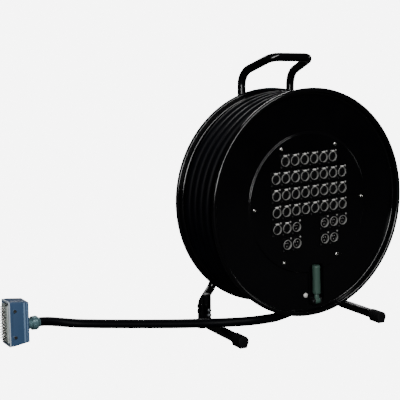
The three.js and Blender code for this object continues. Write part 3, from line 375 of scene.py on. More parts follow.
def add_object(name: str, data: bpy.types.ID) -> bpy.types.Object:
    """Makes an object and links it to the scene.

    Args:
        name: the object's name.
        data: its mesh, light or camera.

    Returns:
        The object.
    """
    made = bpy.data.objects.new(name, data)
    bpy.context.collection.objects.link(made)
    return made


def to_mesh(name: str, surface: Surface) -> bpy.types.Mesh:
    """Puts a surface into a mesh in metres, with doubles merged and faces pointing out.

    Args:
        name: the mesh's name.
        surface: its faces, in millimetres.

    Returns:
        The mesh.
    """
    ends = np.cumsum(surface.sizes)[:-1]
    faces = [face.tolist() for face in np.split(surface.loops, ends)]
    mesh = bpy.data.meshes.new(name)
    mesh.from_pydata((surface.points * MILLIMETRE).tolist(), [], faces)
    work = bmesh.new()
    work.from_mesh(mesh)
    bmesh.ops.remove_doubles(work, verts=work.verts, dist=2e-6)
    bmesh.ops.dissolve_degenerate(work, edges=work.edges, dist=1e-6)
    bmesh.ops.recalc_face_normals(work, faces=work.faces)
    work.to_mesh(mesh)
    work.free()
    return mesh


def boolean(first: Surface, second: Surface, operation: str) -> Surface:
    """Joins two solids, or takes the second out of the first, with Blender's exact boolean.

    Args:
        first: the solid that is changed.
        second: the other solid.
        operation: UNION or DIFFERENCE.

    Returns:
        The result as a surface.
    """
    helpers = [add_object("boolean_helper", to_mesh("boolean_helper", solid)) for solid in (first, second)]
    modifier = helpers[0].modifiers.new("boolean", "BOOLEAN")
    modifier.operation = operation
    modifier.solver = "EXACT"
    modifier.object = helpers[1]
    shaped = helpers[0].evaluated_get(bpy.context.evaluated_depsgraph_get()).to_mesh()
    points = np.empty(len(shaped.vertices) * 3)
    shaped.vertices.foreach_get("co", points)
    loops = np.empty(len(shaped.loops), dtype=int)
    shaped.loops.foreach_get("vertex_index", loops)
    sizes = np.empty(len(shaped.polygons), dtype=int)
    shaped.polygons.foreach_get("loop_total", sizes)
    for helper in helpers:
        bpy.data.objects.remove(helper)
    return Surface(points.reshape(-1, 3) / MILLIMETRE, loops, sizes)


def carved(body: Surface, *tools: Surface) -> Surface:
    """Takes solids out of a solid."""
    return boolean(body, Surface.joined(list(tools)), "DIFFERENCE")


def cross(arm: float, half: float) -> np.ndarray:
    """Outline of a cross recess: its arms reach to arm and are twice half wide.

    Args:
        arm: reach of each arm from the middle.
        half: half of an arm's width.

    Returns:
        The outline's twelve points.
    """
    quarter = np.array([(half, half), (half, arm), (-half, arm)], dtype=float)
    quarters = [quarter]
    for _ in range(3):
        quarters.append(quarters[-1] @ np.array([[0.0, 1.0], [-1.0, 0.0]]))
    return np.concatenate(quarters)


WHITE = (1.0, 1.0, 1.0, 1.0)


def linear(colour: str) -> tuple[float, float, float, float]:
    """Turns an sRGB hex colour into linear red, green, blue and a full alpha."""
    values = [int(colour[i : i + 2], 16) / 255 for i in (1, 3, 5)]
    return (*[v / 12.92 if v <= 0.04045 else ((v + 0.055) / 1.055) ** 2.4 for v in values], 1.0)


def add_node(
    tree: bpy.types.NodeTree, kind: str, settings: dict | None = None, links: dict | None = None
) -> bpy.types.Node:
    """Adds a node, sets its properties and sockets, and links its inputs.

    Args:
        tree: the material's node tree.
        kind: Blender's name of the node.
        settings: property or input socket name to value.
        links: input socket name to an output socket.

    Returns:
        The node.
    """
    node = tree.nodes.new(kind)
    for name, value in (settings or {}).items():
        if name in node.inputs:
            node.inputs[name].default_value = value
        else:
            setattr(node, name, value)
    for name, output in (links or {}).items():
        tree.links.new(output, node.inputs[name])
    return node


def camera_split(tree: bpy.types.NodeTree, lit: bpy.types.Node, seen: bpy.types.Node) -> bpy.types.NodeSocket:
    """Mixes two shaders: the camera's own rays see one of them, and all other rays the other.

    Args:
        tree: the node tree of the floor or the world.
        lit: shader for light and reflections.
        seen: shader for the camera.

    Returns:
        The mix's output.
    """
    rays = add_node(tree, "ShaderNodeLightPath")
    mixed = add_node(tree, "ShaderNodeMixShader", {}, {"Fac": rays.outputs["Is Camera Ray"]})
    tree.links.new(lit.outputs[0], mixed.inputs[1])
    tree.links.new(seen.outputs[0], mixed.inputs[2])
    return mixed.outputs[0]


class Grain(Enum):
    """How a surface was made, which sets the shape of its fine relief."""

    SPRAYED = (1.0, 1.0, 1.0)
    TURNED = (1.0, 0.03, 1.0)


@dataclass(frozen=True)
class Finish:
    """One real material: its colour, its gloss and the scale of its relief.

    Attributes:
        name: the material's name.
        colour: sRGB colour.
        shade: sRGB colour of its second patches, mixed in at random: darker or worn for most finishes, a painted sheen
            for the cable jacket.
        roughness: middle roughness.
        spread: how far roughness varies across a patch.
        metallic: 1 for bare metal.
        specular: strength of the surface reflection.
        grain: how the surface was made.
        grain_mm: size of the fine relief.
        relief_mm: height of the fine relief.
        patch_mm: size of the colour patches.
    """

    name: str
    colour: str
    shade: str
    roughness: float
    spread: float
    metallic: float = 0.0
    specular: float = 0.5
    grain: Grain = Grain.SPRAYED
    grain_mm: float = 1.5
    relief_mm: float = 0.01
    patch_mm: float = 60.0

    def material(self) -> bpy.types.Material:
        """The finish as a node material, made once.

        A broad noise mixes the two colours and shifts the roughness, and a fine noise gives the relief.

        Returns:
            The material.
        """
        found = bpy.data.materials.get(self.name)
        if found:
            return found
        made = bpy.data.materials.new(self.name)
        made.use_nodes = True
        tree = made.node_tree
        tree.nodes.clear()
        place = add_node(tree, "ShaderNodeTexCoord").outputs["Object"]
        scales = {"Scale": 1000 / self.patch_mm, "Detail": 3.0}
        patches = add_node(tree, "ShaderNodeTexNoise", scales, {"Vector": place}).outputs["Fac"]
        stretch = add_node(tree, "ShaderNodeMapping", {"Scale": self.grain.value}, {"Vector": place})
        scales = {"Scale": 1000 / self.grain_mm, "Detail": 2.0}
        fine = add_node(tree, "ShaderNodeTexNoise", scales, {"Vector": stretch.outputs["Vector"]})
        colour = add_node(tree, "ShaderNodeMix", {"data_type": "RGBA"}, {"Factor": patches})
        colour.inputs[6].default_value = linear(self.colour)
        colour.inputs[7].default_value = linear(self.shade)
        low, high = max(self.roughness - self.spread, 0.02), min(self.roughness + self.spread, 1.0)
        limits = {"From Min": 0.3, "From Max": 0.7, "To Min": low, "To Max": high}
        gloss = add_node(tree, "ShaderNodeMapRange", limits, {"Value": patches})
        depth = {"Strength": 0.6, "Distance": self.relief_mm * MILLIMETRE}
        relief = add_node(tree, "ShaderNodeBump", depth, {"Height": fine.outputs["Fac"]})
        shader = add_node(
            tree,
            "ShaderNodeBsdfPrincipled",
            {"Metallic": self.metallic, "Specular IOR Level": self.specular},
            {"Base Color": colour.outputs[2], "Roughness": gloss.outputs["Result"], "Normal": relief.outputs["Normal"]},
        )
        add_node(tree, "ShaderNodeOutputMaterial", {}, {"Surface": shader.outputs["BSDF"]})
        return made


# Stoved gloss enamel on steel: deep black with a slight orange peel
ENAMEL = Finish("stoved_black_enamel", "#020203", "#040405", 0.14, 0.03, specular=0.4, grain_mm=3.0, relief_mm=0.004)
# Same enamel inside pressings, less polished
ENAMEL_DULL = Finish("stoved_black_enamel_inside", "#030304", "#050506", 0.34, 0.05, specular=0.15)
# Extruded rubber-like jacket of the cable: satin black with drag lines; its bluish patches are a painted sheen, the
# faint blue gleam of the wound turns spread at random
JACKET = Finish("extruded_cable_jacket", "#020203", "#04050a", 0.45, 0.05, specular=0.05, grain_mm=0.9, relief_mm=0.03)
# Moulded rubber of feet: matt, dusty black
RUBBER = Finish("moulded_black_rubber", "#060607", "#0c0c0d", 0.7, 0.08, specular=0.12, grain_mm=0.7, relief_mm=0.04)
# Die-cast socket flange painted black
BLACK_CAST = Finish("black_cast_flange", "#030304", "#060607", 0.36, 0.05, specular=0.15, grain_mm=0.6, relief_mm=0.01)
# Moulded thermoplastic of the sockets' insulating blocks
BLOCK_PLASTIC = Finish("moulded_insulating_block", "#030304", "#050506", 0.45, 0.05, specular=0.15)
# Nickel-plated die casting: bright and slightly warm
NICKEL = Finish("bright_nickel_plate", "#b9b8b4", "#9c9b97", 0.22, 0.05, metallic=1.0, grain_mm=0.8, relief_mm=0.004)
# Satin nickel of the sockets' latches and contacts and of the pocket's dome: an even pale grey
SATIN = Finish("satin_nickel_plate", "#d8d7d3", "#c0bfbb", 0.5, 0.05, metallic=0.3, grain_mm=0.6, relief_mm=0.006)
# Greyer die-cast rings and small screws of the sockets
RING = Finish("grey_cast_ring", "#989895", "#848482", 0.5, 0.05, metallic=0.35, grain_mm=0.6, relief_mm=0.006)
# Bare alloy edge round the plug's mouth: pale and slightly blue
ALLOY = Finish("bare_alloy_edge", "#c3d0da", "#aebcc8", 0.5, 0.06, metallic=0.25, grain_mm=0.5, relief_mm=0.006)
# Zinc-plated steel of nuts and washers
ZINC = Finish("zinc_plated_steel", "#a3a6a8", "#83878a", 0.36, 0.08, metallic=1.0, grain_mm=0.5, relief_mm=0.006)
# Turned steel of the axle, with fine rings left by the tool
STEEL = Finish("turned_steel", "#8d9092", "#74777a", 0.32, 0.06, metallic=1.0, grain=Grain.TURNED, relief_mm=0.006)
# Sintered bronze of the bushes
BRONZE = Finish("sintered_bronze", "#9a7543", "#7e5d33", 0.42, 0.06, metallic=1.0, grain_mm=0.4, relief_mm=0.01)
# Moulded nylon of the grip: grey-green, slightly glossy
GRIP = Finish("moulded_grip_nylon", "#3a5149", "#2e433b", 0.36, 0.05, specular=0.45, grain_mm=0.8, relief_mm=0.012)
# Painted die casting of the plug's hood: dull blue-grey
HOOD = Finish("blue_painted_casting", "#37506f", "#2e4560", 0.42, 0.06, specular=0.4, grain_mm=1.0, relief_mm=0.03)
# The same blue paint on the cast ribs, made a little paler as a painted highlight along them
PAINTED_HIGHLIGHT_RIB = Finish("blue_paint_with_painted_highlight", "#6b829c", "#566e8a", 0.4, 0.06, specular=0.4, grain_mm=1.0, relief_mm=0.03)
# Pale moulded block that carries the plug's contacts
CARRIER = Finish("pale_contact_block", "#b4beb9", "#98a29e", 0.5, 0.05, grain_mm=0.6, relief_mm=0.01)
# Nickel-plated brass of the cable gland, dulled by handling
GLAND = Finish("dull_nickel_brass", "#5f7f84", "#3f585f", 0.36, 0.08, metallic=0.35, grain_mm=0.6, relief_mm=0.01)
# Blackened steel, as on the pivot bracket; on the sockets' lower-left screws this black is painted shade on screws like
# the bright upper-right ones
BLACK_SCREW = Finish("blackened_steel_and_painted_shade", "#111112", "#19191b", 0.34, 0.05, metallic=0.4, grain_mm=0.5, relief_mm=0.008)
# Matt paper of the studio's floor: it throws little light back into the black enamel
FLOOR = Finish("matt_paper_floor", "#3c3c3c", "#3a3a3a", 0.95, 0.02, specular=0.1, grain_mm=8.0, relief_mm=0.0)


@dataclass
class Piece:
    """One finished piece of the object.

    Attributes:
        name: the piece's name.
        surface: its shape, in the part's own frame.
        finish: its material.
        body: the moving body that carries it.
        slot: the record's slot; it is not used.
        replaces: the solids that it stands for.
    """

    name: str
    surface: Surface
    finish: Finish
    body: str
    slot: str
    replaces: tuple[str, ...] = ()

    def build(self) -> bpy.types.Object:
        """Makes the object, smooths it, dresses it and ties it to its body.

        Returns:
            The object.
        """
        mesh = to_mesh(self.name, self.surface)
        mesh.polygons.foreach_set("use_smooth", np.ones(len(mesh.polygons), dtype=bool))
        mesh.set_sharp_from_angle(angle=math.radians(SHARP_EDGE_DEGREES))
        mesh.materials.append(self.finish.material())
        made = add_object(self.name, mesh)
        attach(made, self.body)
        if self.replaces:
            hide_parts(*self.replaces)
        LOG.info("%s: %d faces on %s", self.name, len(mesh.polygons), self.body)
        return made


def make(name: str, surface: Surface, finish: Finish, body: str, slot: str, *replaces: str) -> bpy.types.Object:
    """Makes one piece from its facts, in the order of Piece's own."""
    return Piece(name, surface, finish, body, slot, replaces).build()


@dataclass
class Studio:
    """Plain pale floor, soft lights and the camera at the photograph's angle.

    Attributes:
        azimuth: degrees round the drum, 0 for a look along +Y.
        elevation: degrees above the floor's plane.
        distance: from the camera to the axle's plane.
        side_shift: how far the camera is moved to its right.
        height_shift: how far the camera is moved to its own up.
        roll: degrees that the picture is turned.
        focal_share: focal length as a share of the picture's width.
        sensor_mm: width of the sensor.
        floor_half: half the floor's side.
        surround: light of the surround in what the object reflects.
        backdrop: light of floor and surround as the camera sees them.
    """

    azimuth: float = -28.90
    elevation: float = 7.91
    distance: float = 1814.94
    side_shift: float = -243.01
    height_shift: float = 9.25
    roll: float = 0.39
    focal_share: float = 834.75 / 400
    sensor_mm: float = 36.0
    floor_half: float = 9000.0
    surround: float = 0.04
    backdrop: float = 7.0

    def camera(self) -> None:
        """Sets the camera: it stands back from the axle along the view direction, moved aside and up."""
        a, e, r = (math.radians(v) for v in (self.azimuth, self.elevation, self.roll))
        back = Vector((math.sin(a) * math.cos(e), -math.cos(a) * math.cos(e), math.sin(e)))
        right = Vector((math.cos(a), math.sin(a), 0.0))
        up = back.cross(right)
        place = back * self.distance + right * self.side_shift + up * self.height_shift
        place += Vector((0.0, -MIDDLE_DEPTH, AXLE_HEIGHT))
        image_right = right * math.cos(r) - up * math.sin(r)
        image_up = right * math.sin(r) + up * math.cos(r)
        matrix = Matrix((image_right, image_up, back)).transposed().to_4x4()
        matrix.translation = place * MILLIMETRE
        data = bpy.data.cameras.new("camera")
        data.sensor_width = self.sensor_mm
        data.lens = self.focal_share * self.sensor_mm
        data.clip_end = 100.0
        view = add_object("camera", data)
        view.matrix_world = matrix
        bpy.context.scene.camera = view

    def floor(self) -> None:
        """Lays the plain floor, pale to the camera and dark in what the black enamel reflects."""
        half = self.floor_half
        corners = np.array([[[-half, -half, 0], [half, -half, 0]], [[-half, half, 0], [half, half, 0]]], dtype=float)
        mesh = to_mesh("floor", Surface.grid(corners).moved(z=-0.2))
        paper = FLOOR.material()
        tree = paper.node_tree
        shader = next(node for node in tree.nodes if node.type == "BSDF_PRINCIPLED")
        output = next(node for node in tree.nodes if node.type == "OUTPUT_MATERIAL")
        lit = add_node(tree, "ShaderNodeEmission", {"Color": WHITE, "Strength": self.backdrop})
        tree.links.new(camera_split(tree, shader, lit), output.inputs["Surface"])
        mesh.materials.append(paper)
        add_object("floor", mesh)

    def light(self, name: str, ends: tuple[tuple[float, float, float], ...], width: float, watts: float) -> None:
        """Adds one soft strip light that faces the drum.

        Args:
            name: the light's name.
            ends: middle of each short side, in metres.
            width: length of the short sides, in metres.
            watts: its power.
        """
        first, last = (Vector(end) for end in ends)
        place = (first + last) / 2
        side = (last - first).normalized()
        back = place - Vector((0.0, 0.0, AXLE_HEIGHT * MILLIMETRE))
        back = (back - side * back.dot(side)).normalized()
        matrix = Matrix((side, back.cross(side), back)).transposed().to_4x4()
        matrix.translation = place
        data = bpy.data.lights.new(name, "AREA")
        data.shape = "RECTANGLE"
        data.size, data.size_y = (last - first).length, width
        data.energy = watts
        add_object(name, data).matrix_world = matrix

    def lights(self) -> None:
        """Sets the soft strip lights, and a surround that is pale to the camera and dark in reflections."""
        world = bpy.data.worlds.new("studio")
        bpy.context.scene.world = world
        world.use_nodes = True
        tree = world.node_tree
        tree.nodes.clear()
        soft = add_node(tree, "ShaderNodeBackground", {"Color": WHITE, "Strength": self.surround})
        bright = add_node(tree, "ShaderNodeBackground", {"Color": WHITE, "Strength": self.backdrop})
        add_node(tree, "ShaderNodeOutputWorld", {}, {"Surface": camera_split(tree, soft, bright)})
        self.light("key", ((-2.1, -2.1, 0.4), (0.75, -1.9, 2.5)), 0.25, 80.0)
        self.light("front", ((-2.2, -2.6, 0.9), (-1.2, -3.2, 0.9)), 0.8, 25.0)
        self.light("fill", ((2.3, -0.9, 0.4), (2.3, 0.3, 1.6)), 0.3, 3.0)
        self.light("back", ((2.1, 2.1, 0.4), (-0.75, 1.9, 2.5)), 0.4, 40.0)


@dataclass
class Cable:
    """The multicore cable: its outer layer on the drum, its free tail, and the layer under it.

    The tail and the wound tube meet on a slanted cut, each trimmed at its own distance from the axle.
    """

    radius: float = 10.0
    layer: float = 232.7
    turns: float = 4.05
    pitch: float = 26.0
    under_pitch: float = 20.6
    first_turn: float = 31.0
    leave_angle: float = math.radians(12.0)
    turn_steps: int = 96
    sides: int = 20
    layer_gap: float = 2.1
    under_steps: tuple[int, int] = (180, 150)
    barrel: float = 150.4
    core_front: float = 21.0
    core_back: float = 145.4
    sway: float = 0.16
    ramp_angle: float = math.radians(42.0)
    ramp_drop: float = 16.0
    run_out: float = 100.0
    scarf_tip: float = 20.0
    drum_side: float = 242.85
    tail_side: float = 243.25
    route_steps: int = 10
    route: tuple = (
        (-49.43, -55.65, 41.59), (-72, -55.3, 38.2), (-98, -53.8, 37.3), (-130, -49.5, 36.9), (-160, -39, 36.3),
        (-187, -27, 35.7), (-212, -11.5, 34.6), (-240, 10, 32.4), (-275, 37, 29.9), (-320, 70, 27.9), (-370, 106, 26.2),
        (-420, 140, 25.3), (-455, 160, 26.2), (-484, 170.2, 30.2), (-510, 172.7, 35.4), (-534, 171.35, 38.8),
        (-565.3, 169.2, 38.8),
    )

    def start(self) -> tuple[np.ndarray, np.ndarray, np.ndarray]:
        """Place where the cable leaves the drum, its way off and the way out from the axle, in the drum's frame.

        Returns:
            The place, the way off and the way out.
        """
        angle = self.leave_angle
        outward = np.array([math.sin(angle), 0.0, -math.cos(angle)])
        place = self.layer * outward + np.array([0.0, self.first_turn, 0.0])
        return place, np.array([-math.cos(angle), 0.0, -math.sin(angle)]), outward

    def scarf(self, limit: float, angle: np.ndarray, share: float) -> np.ndarray:
        """How far along the straight run each line of the tube leaves a cylinder about the axle.

        A line starts at q and square to q, so it leaves the cylinder of radius R after sqrt(R^2 - |q|^2).
        """
        out = self.layer + share * self.radius * np.cos(angle)
        return np.sqrt(np.maximum(limit**2 - out**2, 0.0))

    def straight_ring(self, along: np.ndarray, angle: np.ndarray, share: float = 1.0) -> np.ndarray:
        """Points of the straight run: place + d s + r (o cos a + y sin a), in the part's frame.

        Args:
            along: how far along the run each point lies.
            angle: the points' angles round the cable.
            share: share of the cable's radius.

        Returns:
            One point for each angle.
        """
        place, way, outward = self.start()
        across = np.array([0.0, 1.0, 0.0])
        circle_points = outward * np.cos(angle)[:, None] + across * np.sin(angle)[:, None]
        return place + way * along[:, None] + share * self.radius * circle_points + TO_AXLE

    def scarf_face(self, limit: float, angle: np.ndarray) -> list[np.ndarray]:
        """Rings that close the slanted end, from the middle out."""
        return [self.straight_ring(self.scarf(limit, angle, share), angle, share) for share in (0.001, 0.35, 0.7)]

    def route_path(self) -> np.ndarray:
        """Centre line of the free cable from the end of its straight run to the plug."""
        return smooth_line(np.array(self.route, dtype=float), self.route_steps)

    def tail_path(self) -> np.ndarray:
        """Centre line of the whole free cable in the part's frame, in millimetres.

        Returns:
            The line's points, from the slanted end to the plug.
        """
        place, way, _ = self.start()
        straight = place + TO_AXLE + way * np.linspace(self.scarf_tip, self.run_out, 5)[:, None]
        return np.concatenate([straight[:-1], self.route_path()])

    def tail(self) -> Surface:
        """The free cable: slanted at the drum, then a tube of the same section along its route.

        Returns:
            The piece, in the part's own frame.
        """
        angle = circle(self.sides)
        start = self.scarf(self.tail_side, angle, 1.0)
        rings = self.scarf_face(self.tail_side, angle)
        rings += [self.straight_ring(start + (self.run_out - start) * t, angle) for t in (0.0, 0.35, 0.7)]
        path = self.route_path()
        normals, across = path_frames(path, self.start()[2])
        body = swept(path, normals, -across, self.radius, self.sides)
        return Surface.grid(np.concatenate([np.stack(rings), body]), wrap_columns=True, caps=True)

    def helix(self, angle: np.ndarray) -> np.ndarray:
        """Centre line of the outer layer in the part's frame, with the last turn sinking at its end.

        A point lies at (R sin a, y, -R cos a), and y grows by one pitch a turn, with a slow sway of a fraction
        of a millimetre. Past the last full turn R falls by a smooth step and y stays.

        Args:
            angle: angles round the axle, growing.

        Returns:
            One point for each angle.
        """
        whole = self.turns * FULL
        run = np.minimum(angle - self.leave_angle, whole)
        sink = np.clip((angle - self.leave_angle - whole) / self.ramp_angle, 0.0, 1.0)
        radius = self.layer - self.ramp_drop * sink**2 * (3 - 2 * sink)
        fade = np.clip(run / 0.6, 0.0, 1.0) * (1 - sink)
        sway = self.sway * fade * (np.sin(3.1 * run) + np.sin(1.7 * run + 1.0))
        y = self.first_turn + self.pitch * run / FULL + sway
        return np.stack([radius * np.sin(angle), y, -radius * np.cos(angle)], axis=-1) + TO_AXLE

    def outer_layer(self) -> Surface:
        """The wound tube, from its slanted end at the tail round to where the last turn sinks in.

        Returns:
            The piece, in the part's own frame.
        """
        section = circle(self.sides)
        end = self.scarf(self.drum_side, section, 1.0)
        rings = self.scarf_face(self.drum_side, section)
        rings += [self.straight_ring(end * t, section) for t in (1.0, 0.66, 0.33)]
        steps = int((self.turns * FULL + self.ramp_angle) / FULL * self.turn_steps)
        angle = self.leave_angle + np.linspace(0.0, self.turns * FULL + self.ramp_angle, steps)
        path = self.helix(angle)
        out = np.stack([np.sin(angle), np.zeros(steps), -np.cos(angle)], axis=-1)
        tangent = unit(np.gradient(path, axis=0))
        out = unit(out - tangent * np.sum(out * tangent, axis=1, keepdims=True))
        across = np.cross(out, tangent)
        across *= np.sign(across[:, 1:2])
        body = swept(path, out, across, self.radius, self.sides)
        return Surface.grid(np.concatenate([np.stack(rings), body]), wrap_columns=True, caps=True)

    def under_layer(self) -> Surface:
        """The layer below: a drum whose outside is corrugated by turns of the other hand.

        Its radius is R + sqrt(r^2 - d^2), with d the distance along y to the nearest turn.

        Returns:
            The piece, in the part's own frame.
        """
        steps, columns = self.under_steps
        angle = circle(steps)[:, None]
        depth = np.linspace(self.core_front, self.core_back, columns)[None, :]
        turn = (depth - self.core_front - self.radius + self.under_pitch * angle / FULL) / self.under_pitch
        off = (turn - np.round(turn)) * self.under_pitch
        bulge = np.sqrt(np.maximum(self.radius**2 - off**2, 0.0))
        outside = self.layer - 2 * self.radius - self.layer_gap + bulge
        radius = np.concatenate([outside, np.full((steps, 2), self.barrel)], axis=1)
        depth = np.concatenate([depth, [[self.core_back, self.core_front]]], axis=1)
        y = np.broadcast_to(depth, radius.shape)
        grid = np.stack([radius * np.sin(angle), y, -radius * np.cos(angle)], axis=-1)
        return at_axle(Surface.grid(grid, wrap_rows=True, wrap_columns=True))

    def build_tail(self, plug_pieces: list[str]) -> None:
        """Args:
            plug_pieces: the pieces that lie on the cable's end; not used.
        """
        tail = make("free_cable", self.tail(), JACKET, "stand", "cable_jacket", "cable_tail")
        path = self.tail_path() * MILLIMETRE
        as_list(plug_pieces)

    def build_winding(self) -> None:
        """Makes the wound cable."""
        make("wound_cable", self.outer_layer(), JACKET, "drum", "cable_jacket", "winding_outer_layer")
        make("under_layer", self.under_layer(), JACKET, "drum", "cable_jacket", "winding_core")


@dataclass
class Plug:
    """Multipin plug on the cable's end. Its own frame has x from the mouth to the cable and z up."""

    place: tuple[float, float] = (-611.2, 165.9)
    turn_degrees: float = 4.0
    long: float = 44.0
    high: float = 97.0
    thick: float = 43.0
    wall: float = 3.0
    taper: float = 4.5
    collar: float = 10.0
    axis_height: float = 38.8
    ribs_at: tuple = ((33.5, 2.2), (39.5, 1.2))
    contact_half: tuple[float, float] = (11.4, 34.0)
    screw_at: tuple[float, float] = (13.5, 42.5)
    peg_at: tuple[float, float] = (12.0, 20.0)
    bore: float = 10.3
    pieces: list = field(default_factory=list)

    def put(self, surface: Surface) -> Surface:
        """Moves a piece from the plug's frame to the part's own."""
        return surface.turned("Z", self.turn_degrees).moved(*self.place)

    def upright(self, surface: Surface) -> Surface:
        """Turns a piece laid out along Y to face the mouth, and lifts it to the plug's middle."""
        return surface.turned("Z", -90).moved(z=self.high / 2)

    def add(self, name: str, surface: Surface, finish: Finish, slot: str, *replaces: str) -> None:
        """Makes one piece of the plug and notes it as lying on the cable."""
        self.pieces.append(make(name, self.put(surface), finish, "stand", slot, *replaces))

    def hood(self) -> Surface:
        """The cast hood, tapered to the cable, hollow from the mouth, with a groove on each side.

        Returns:
            The piece, in the plug's frame.
        """
        half, wall = self.thick / 2, self.wall
        outline = [(0, 0), (self.collar, 0), (self.long, self.taper), (self.long, self.high - self.taper),
                   (self.collar, self.high), (0, self.high)]
        outer = prism(rounded_profile(outline, 2.2, 4), -half, half, 2.0, 4)
        inside = [(-8, wall), (self.collar, wall), (self.long - wall, wall + self.taper),
                  (self.long - wall, self.high - wall - self.taper), (self.collar, self.high - wall),
                  (-8, self.high - wall)]
        tools = [prism(inside, wall - half, half - wall)]
        groove = rounded_profile([(5, 9), (7.5, 9), (7.5, self.high - 9), (5, self.high - 9)], 1.0, 3)
        for side in (-1, 1):
            tools.append(prism(groove, *sorted((side * (half - 0.9), side * (half + 4)))))
        return carved(outer, *tools)

    def ribs(self) -> Surface:
        """Two cast ribs up each broad side, near the cable.

        Returns:
            The piece, in the plug's frame.
        """
        ribs = []
        for middle, half in self.ribs_at:
            outline = rectangle(half, self.high / 2 - 5.0, 0.8, 3) + np.array([middle, self.high / 2])
            for side in (-1, 1):
                ends = sorted((side * (self.thick / 2 - 0.6), side * (self.thick / 2 + 0.9)))
                ribs.append(prism(outline, *ends, 0.6))
        return Surface.joined(ribs)

    def mouth_rim(self) -> Surface:
        """Bare metal edge round the mouth.

        Returns:
            The piece, in the plug's frame.
        """
        half_x, half_z = self.thick / 2, self.high / 2
        outline = rectangle(half_x + 0.25, half_z + 0.25, 2.4, 5)
        hole = rectangle(half_x - self.wall + 0.3, half_z - self.wall + 0.3, 1.5, 4)
        return self.upright(carved(prism(outline, -0.8, 2.2, 0.4), prism(hole, -5, 5)))

    def insert(self) -> Surface:
        """The pale contact block with its flange.

        Returns:
            The piece, in the plug's frame.
        """
        block = prism(rectangle(17, 40.5, 2.0), -3, 27, 0.5)
        flange = prism(rectangle(18, 45, 3.0), 8, 10, 0.3)
        return self.upright(Surface.joined([block, flange]))

    def contacts(self) -> Surface:
        """Three columns of round-nosed contacts standing out of the block.

        Returns:
            The piece, in the plug's frame.
        """
        pin = revolve([(0, -11.3), (0.8, -11.1), (1.1, -10.4), (1.1, -3.0), (0, -3.0)], 10)
        half_x, half_z = self.contact_half
        x, z = np.meshgrid(np.linspace(-half_x, half_x, 3), np.linspace(-half_z, half_z, 12), indexing="ij")
        places = np.stack([x.ravel(), np.zeros(x.size), z.ravel()], axis=-1)
        return self.upright(pin.copies(places))

    def screws(self) -> Surface:
        """Two screws in the mouth's corners.

        Returns:
            The piece, in the plug's frame.
        """
        head = revolve([(0, -4.2), (2.4, -4.0), (3.2, -3.2), (3.2, -2.8), (0, -2.8)], 16)
        x, z = self.screw_at
        return self.upright(head.copies(np.array([[x, 0, z], [-x, 0, -z]])))

    def pegs(self) -> Surface:
        """Four pegs where the other half's levers lock.

        Returns:
            The piece, in the plug's frame.
        """
        peg = revolve([(0, 0), (3.5, 0), (3.5, 3.2), (2.9, 4.0), (0, 4.0)], 20)
        x, z = self.peg_at
        y = self.thick / 2 - 0.05
        pair = [peg.turned("X", 180).moved(x, -y), peg.moved(x, y)]
        return Surface.joined([side.moved(z=height) for side in pair for height in (z, self.high - z)])

    def on_gland(self, profile: Outline, steps: int = 40) -> Surface:
        """Carries a profile of (radius, x) round the gland's axis."""
        return revolve(profile, steps, closed=True).turned("Z", -90).moved(z=self.axis_height)

    def gland(self) -> Surface:
        """The gland's collar and threaded body.

        Returns:
            The piece, in the plug's frame.
        """
        start = self.long + 0.1
        ridges = [(self.bore, start), (12.8, start), (12.8, start + 5.5), (11.7, start + 5.5)]
        for i in range(4):
            at = start + 6.0 + i * 1.5
            ridges += [(11.7, at), (11.2, at + 0.75)]
        return self.on_gland(ridges + [(11.6, start + 18), (self.bore, start + 18)])

    def dome_nut(self, start: float) -> Surface:
        """The round part of the nut that grips the cable.

        Args:
            start: the nut's end nearer the hood.

        Returns:
            The piece, in the plug's frame.
        """
        dome = [(12.1, start), (15.0, start), *arc((9.5, start + 9.0), 6.0, 0, 80, 8).tolist(),
                (self.bore, start + 17.6), (self.bore, start + 15.8), (12.1, start + 13.0)]
        return self.on_gland(dome, 48)

    def build(self) -> None:
        """Makes the plug's pieces."""
        nut = self.long + 12.6
        flats = [(12.2, nut + 0.6), (15.5, nut + 0.6), (15.5, nut + 8.4), (12.2, nut + 8.4)]
        seal = ring_profile(self.bore, 11.7, self.long + 18.7, self.long + 21.7, 0.5)
        self.add("hood", self.hood(), HOOD, "blue_hood", "plug_hood")
        # The ribs' paler blue is a painted highlight on the hood's own paint
        self.add("hood_ribs", self.ribs(), PAINTED_HIGHLIGHT_RIB, "blue_hood")
        self.add("mouth_rim", self.mouth_rim(), ALLOY, "bright_nickel")
        self.add("locking_pegs", self.pegs(), NICKEL, "bright_nickel")
        self.add("contact_block", self.insert(), CARRIER, "contact_carrier", "plug_insert")
        self.add("contacts", self.contacts(), NICKEL, "bright_nickel")
        self.add("block_screws", self.screws(), ZINC, "zinc_plate")
        self.add("gland_body", self.gland(), GLAND, "zinc_plate", "plug_gland")
        self.add("dome_nut", self.dome_nut(nut), GLAND, "zinc_plate", "gland_nut")
        self.add("dome_nut_flats", self.on_gland(flats, 6), GLAND, "zinc_plate")
        self.add("sealing_ring", self.on_gland(seal), RUBBER, "black_rubber", "gland_seal")


